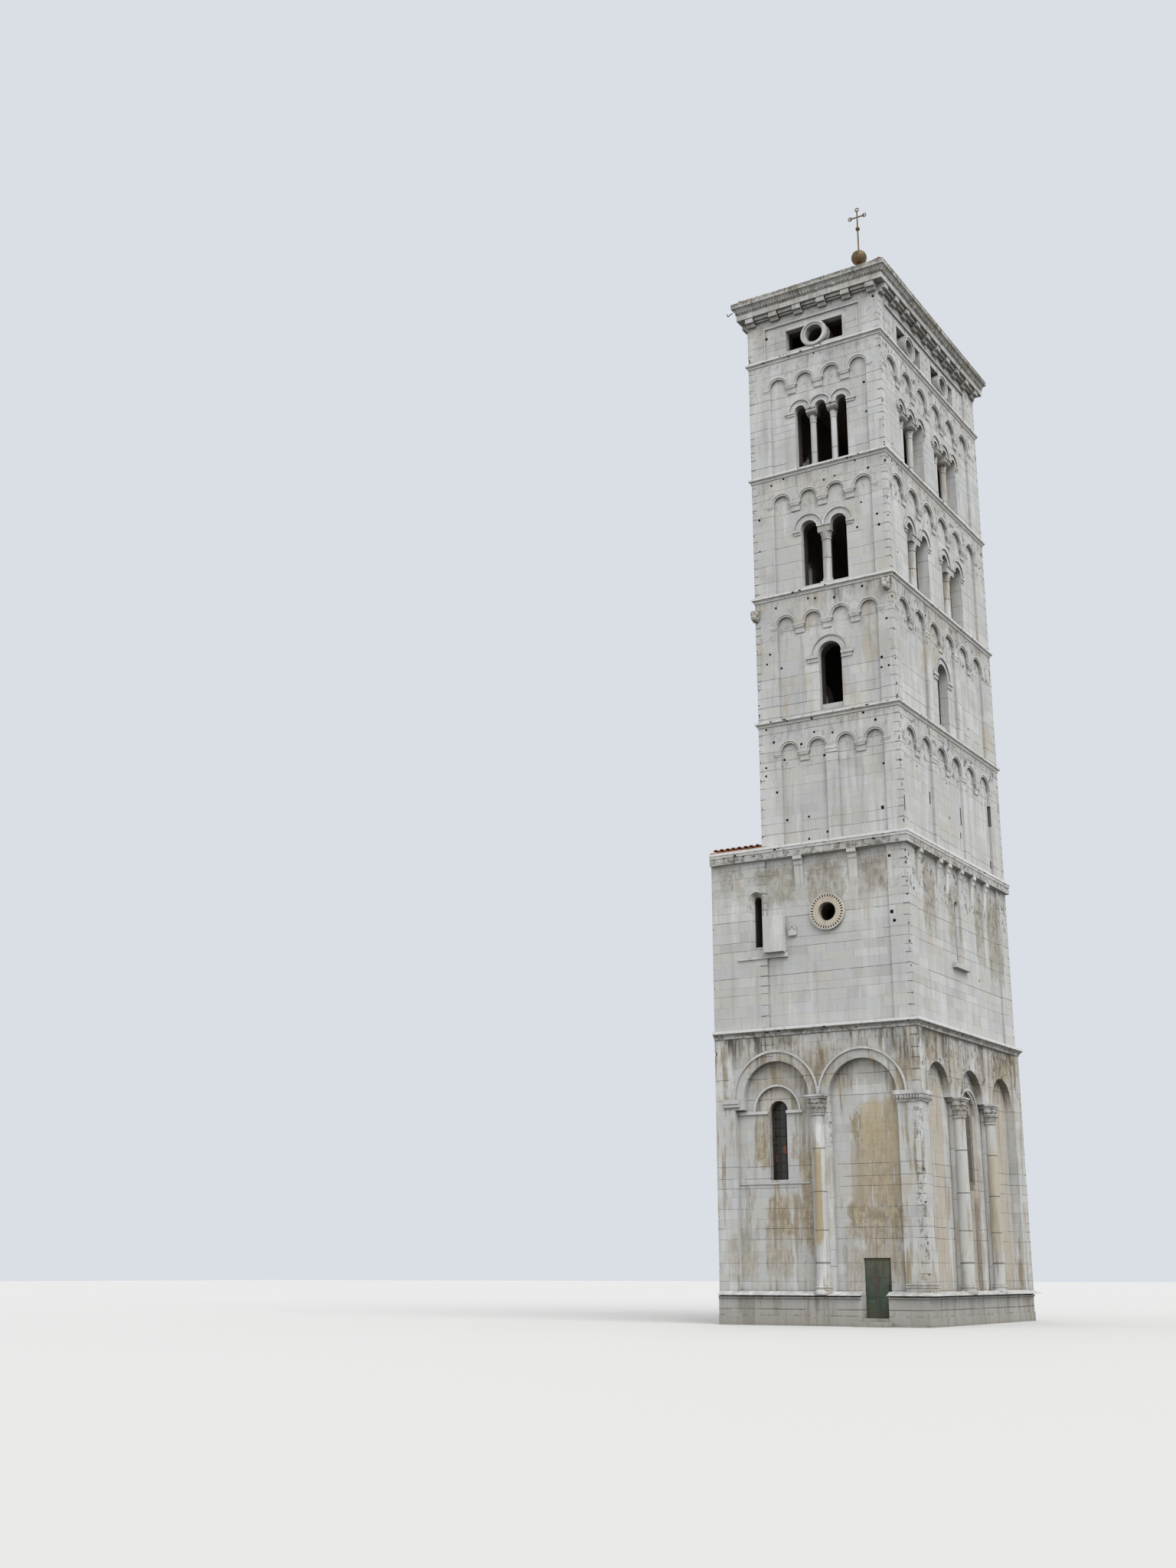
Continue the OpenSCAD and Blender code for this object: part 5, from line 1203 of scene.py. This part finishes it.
# worn beast heads at the corners of the fourth string, each fused from eight lumps:
# sideways, outward and upward place, radius, and the stretch of each of the three
headLumps = (
    (0, 0.1, 0.2, 0.1, 1.0, 0.95, 1.05), (0, 0.165, 0.1, 0.062, 1.0, 1.0, 1.15),
    (0, 0.17, 0.045, 0.05, 1.1, 0.8, 0.6), (-0.075, 0.07, 0.29, 0.035, 0.8, 0.8, 1.5),
    (0.075, 0.07, 0.29, 0.035, 0.8, 0.8, 1.5), (-0.045, 0.185, 0.225, 0.024, 1, 0.7, 0.8),
    (0.045, 0.185, 0.225, 0.024, 1, 0.7, 0.8), (0, 0.05, 0.12, 0.1, 0.9, 0.9, 1.3))
headSize = {"across": 1.42, "up": 1.3, "sunk": 0.012, "drop": 0.03, "grain": 0.012}
nearHead, farHead = (2.25, 22.514), (-2.39, 22.324)
for name, way, (x, level) in (("beastHeadNear", -1, nearHead), ("beastHeadFar", -1, farHead),
                              ("beastHeadBackNear", 1, nearHead), ("beastHeadBackFar", 1, farHead)):
    head = bmesh.new()
    for dx, out, dz, radius, stretchX, stretchOut, stretchZ in headLumps:
        for vert in bmesh.ops.create_icosphere(head, subdivisions=3, radius=radius)["verts"]:
            across = (dx + vert.co.x * stretchX) * headSize["across"]
            forward = (out + vert.co.y * stretchOut) * headSize["across"] - headSize["sunk"]
            high = (dz + vert.co.z * stretchZ) * headSize["up"] - headSize["drop"]
            vert.co = Vector((x + across, way * (wall["halfDepth"] + forward), level + high))
    piece = meshOf(name, [], [], carvedStone)
    head.to_mesh(piece.data)
    head.free()
    fuse = piece.modifiers.new("fuse", "REMESH")
    fuse.mode = "VOXEL"
    fuse.voxel_size = headSize["grain"]
    soften = piece.modifiers.new("soften", "SMOOTH")
    soften.iterations = 3
    piece.data.shade_smooth()
    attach(piece, "tower")
print("corner heads carved")


camera = {"place": (21.543, -53.486, 1.495), "yaw": 31.987, "tilt": 15.728, "lens": 39.88}
cameraData = bpy.data.cameras.new("camera")
cameraData.sensor_width = 36
cameraData.lens = camera["lens"]
cameraData.clip_end = 900
cameraObject = addObject("camera", cameraData)
cameraObject.location = camera["place"]
cameraObject.rotation_euler = (math.radians(90 + camera["tilt"]), 0, math.radians(camera["yaw"]))
bpy.context.scene.camera = cameraObject

light = {
    "sky": (1.0, 1.0, 1.0), "skyPower": 0.97, "backdrop": (0.70, 0.735, 0.79), "sun": 2.2, "sunSize": 45,
    "sunTurn": (40, 0, 53), "floor": (0.55, 0.55, 0.54), "floorBounce": (0.2, 0.2, 0.195),
    "floorReach": 260}


# the sky's nodes, which are made the way a finish's are
class Sky(Finish):
    def __init__(self, name):
        self.world = bpy.data.worlds.new(name)
        self.world.use_nodes = True
        self.tree = self.world.node_tree

    def glow(self, colour, power):
        return self.node("Background", {}, {"Color": (*colour, 1), "Strength": power})


sky = Sky("softSky")
chosen = sky.node("MixShader", {}, {0: sky.looked(), 1: sky.glow(light["sky"], light["skyPower"]),
                                    2: sky.glow(light["backdrop"], 1)})
sky.tree.links.new(chosen.socket, sky.tree.nodes["World Output"].inputs["Surface"])
bpy.context.scene.world = sky.world
sun = bpy.data.lights.new("sun", "SUN")
sun.energy = light["sun"]
sun.angle = math.radians(light["sunSize"])
addObject("sun", sun).rotation_euler = [math.radians(turn) for turn in light["sunTurn"]]

reach = light["floorReach"]
floorFinish = Finish("paleFloor")
floorFinish.colour = floorFinish.mix(floorFinish.looked(), light["floorBounce"], light["floor"])
floorCorners = [(-reach, -reach, 0), (reach, -reach, 0), (reach, reach, 0), (-reach, reach, 0)]
floor = meshOf("paleFloor", floorCorners, [(0, 1, 2, 3)], floorFinish.done(0.9))
bpy.context.scene.view_settings.view_transform = "Standard"

print("scene ready")
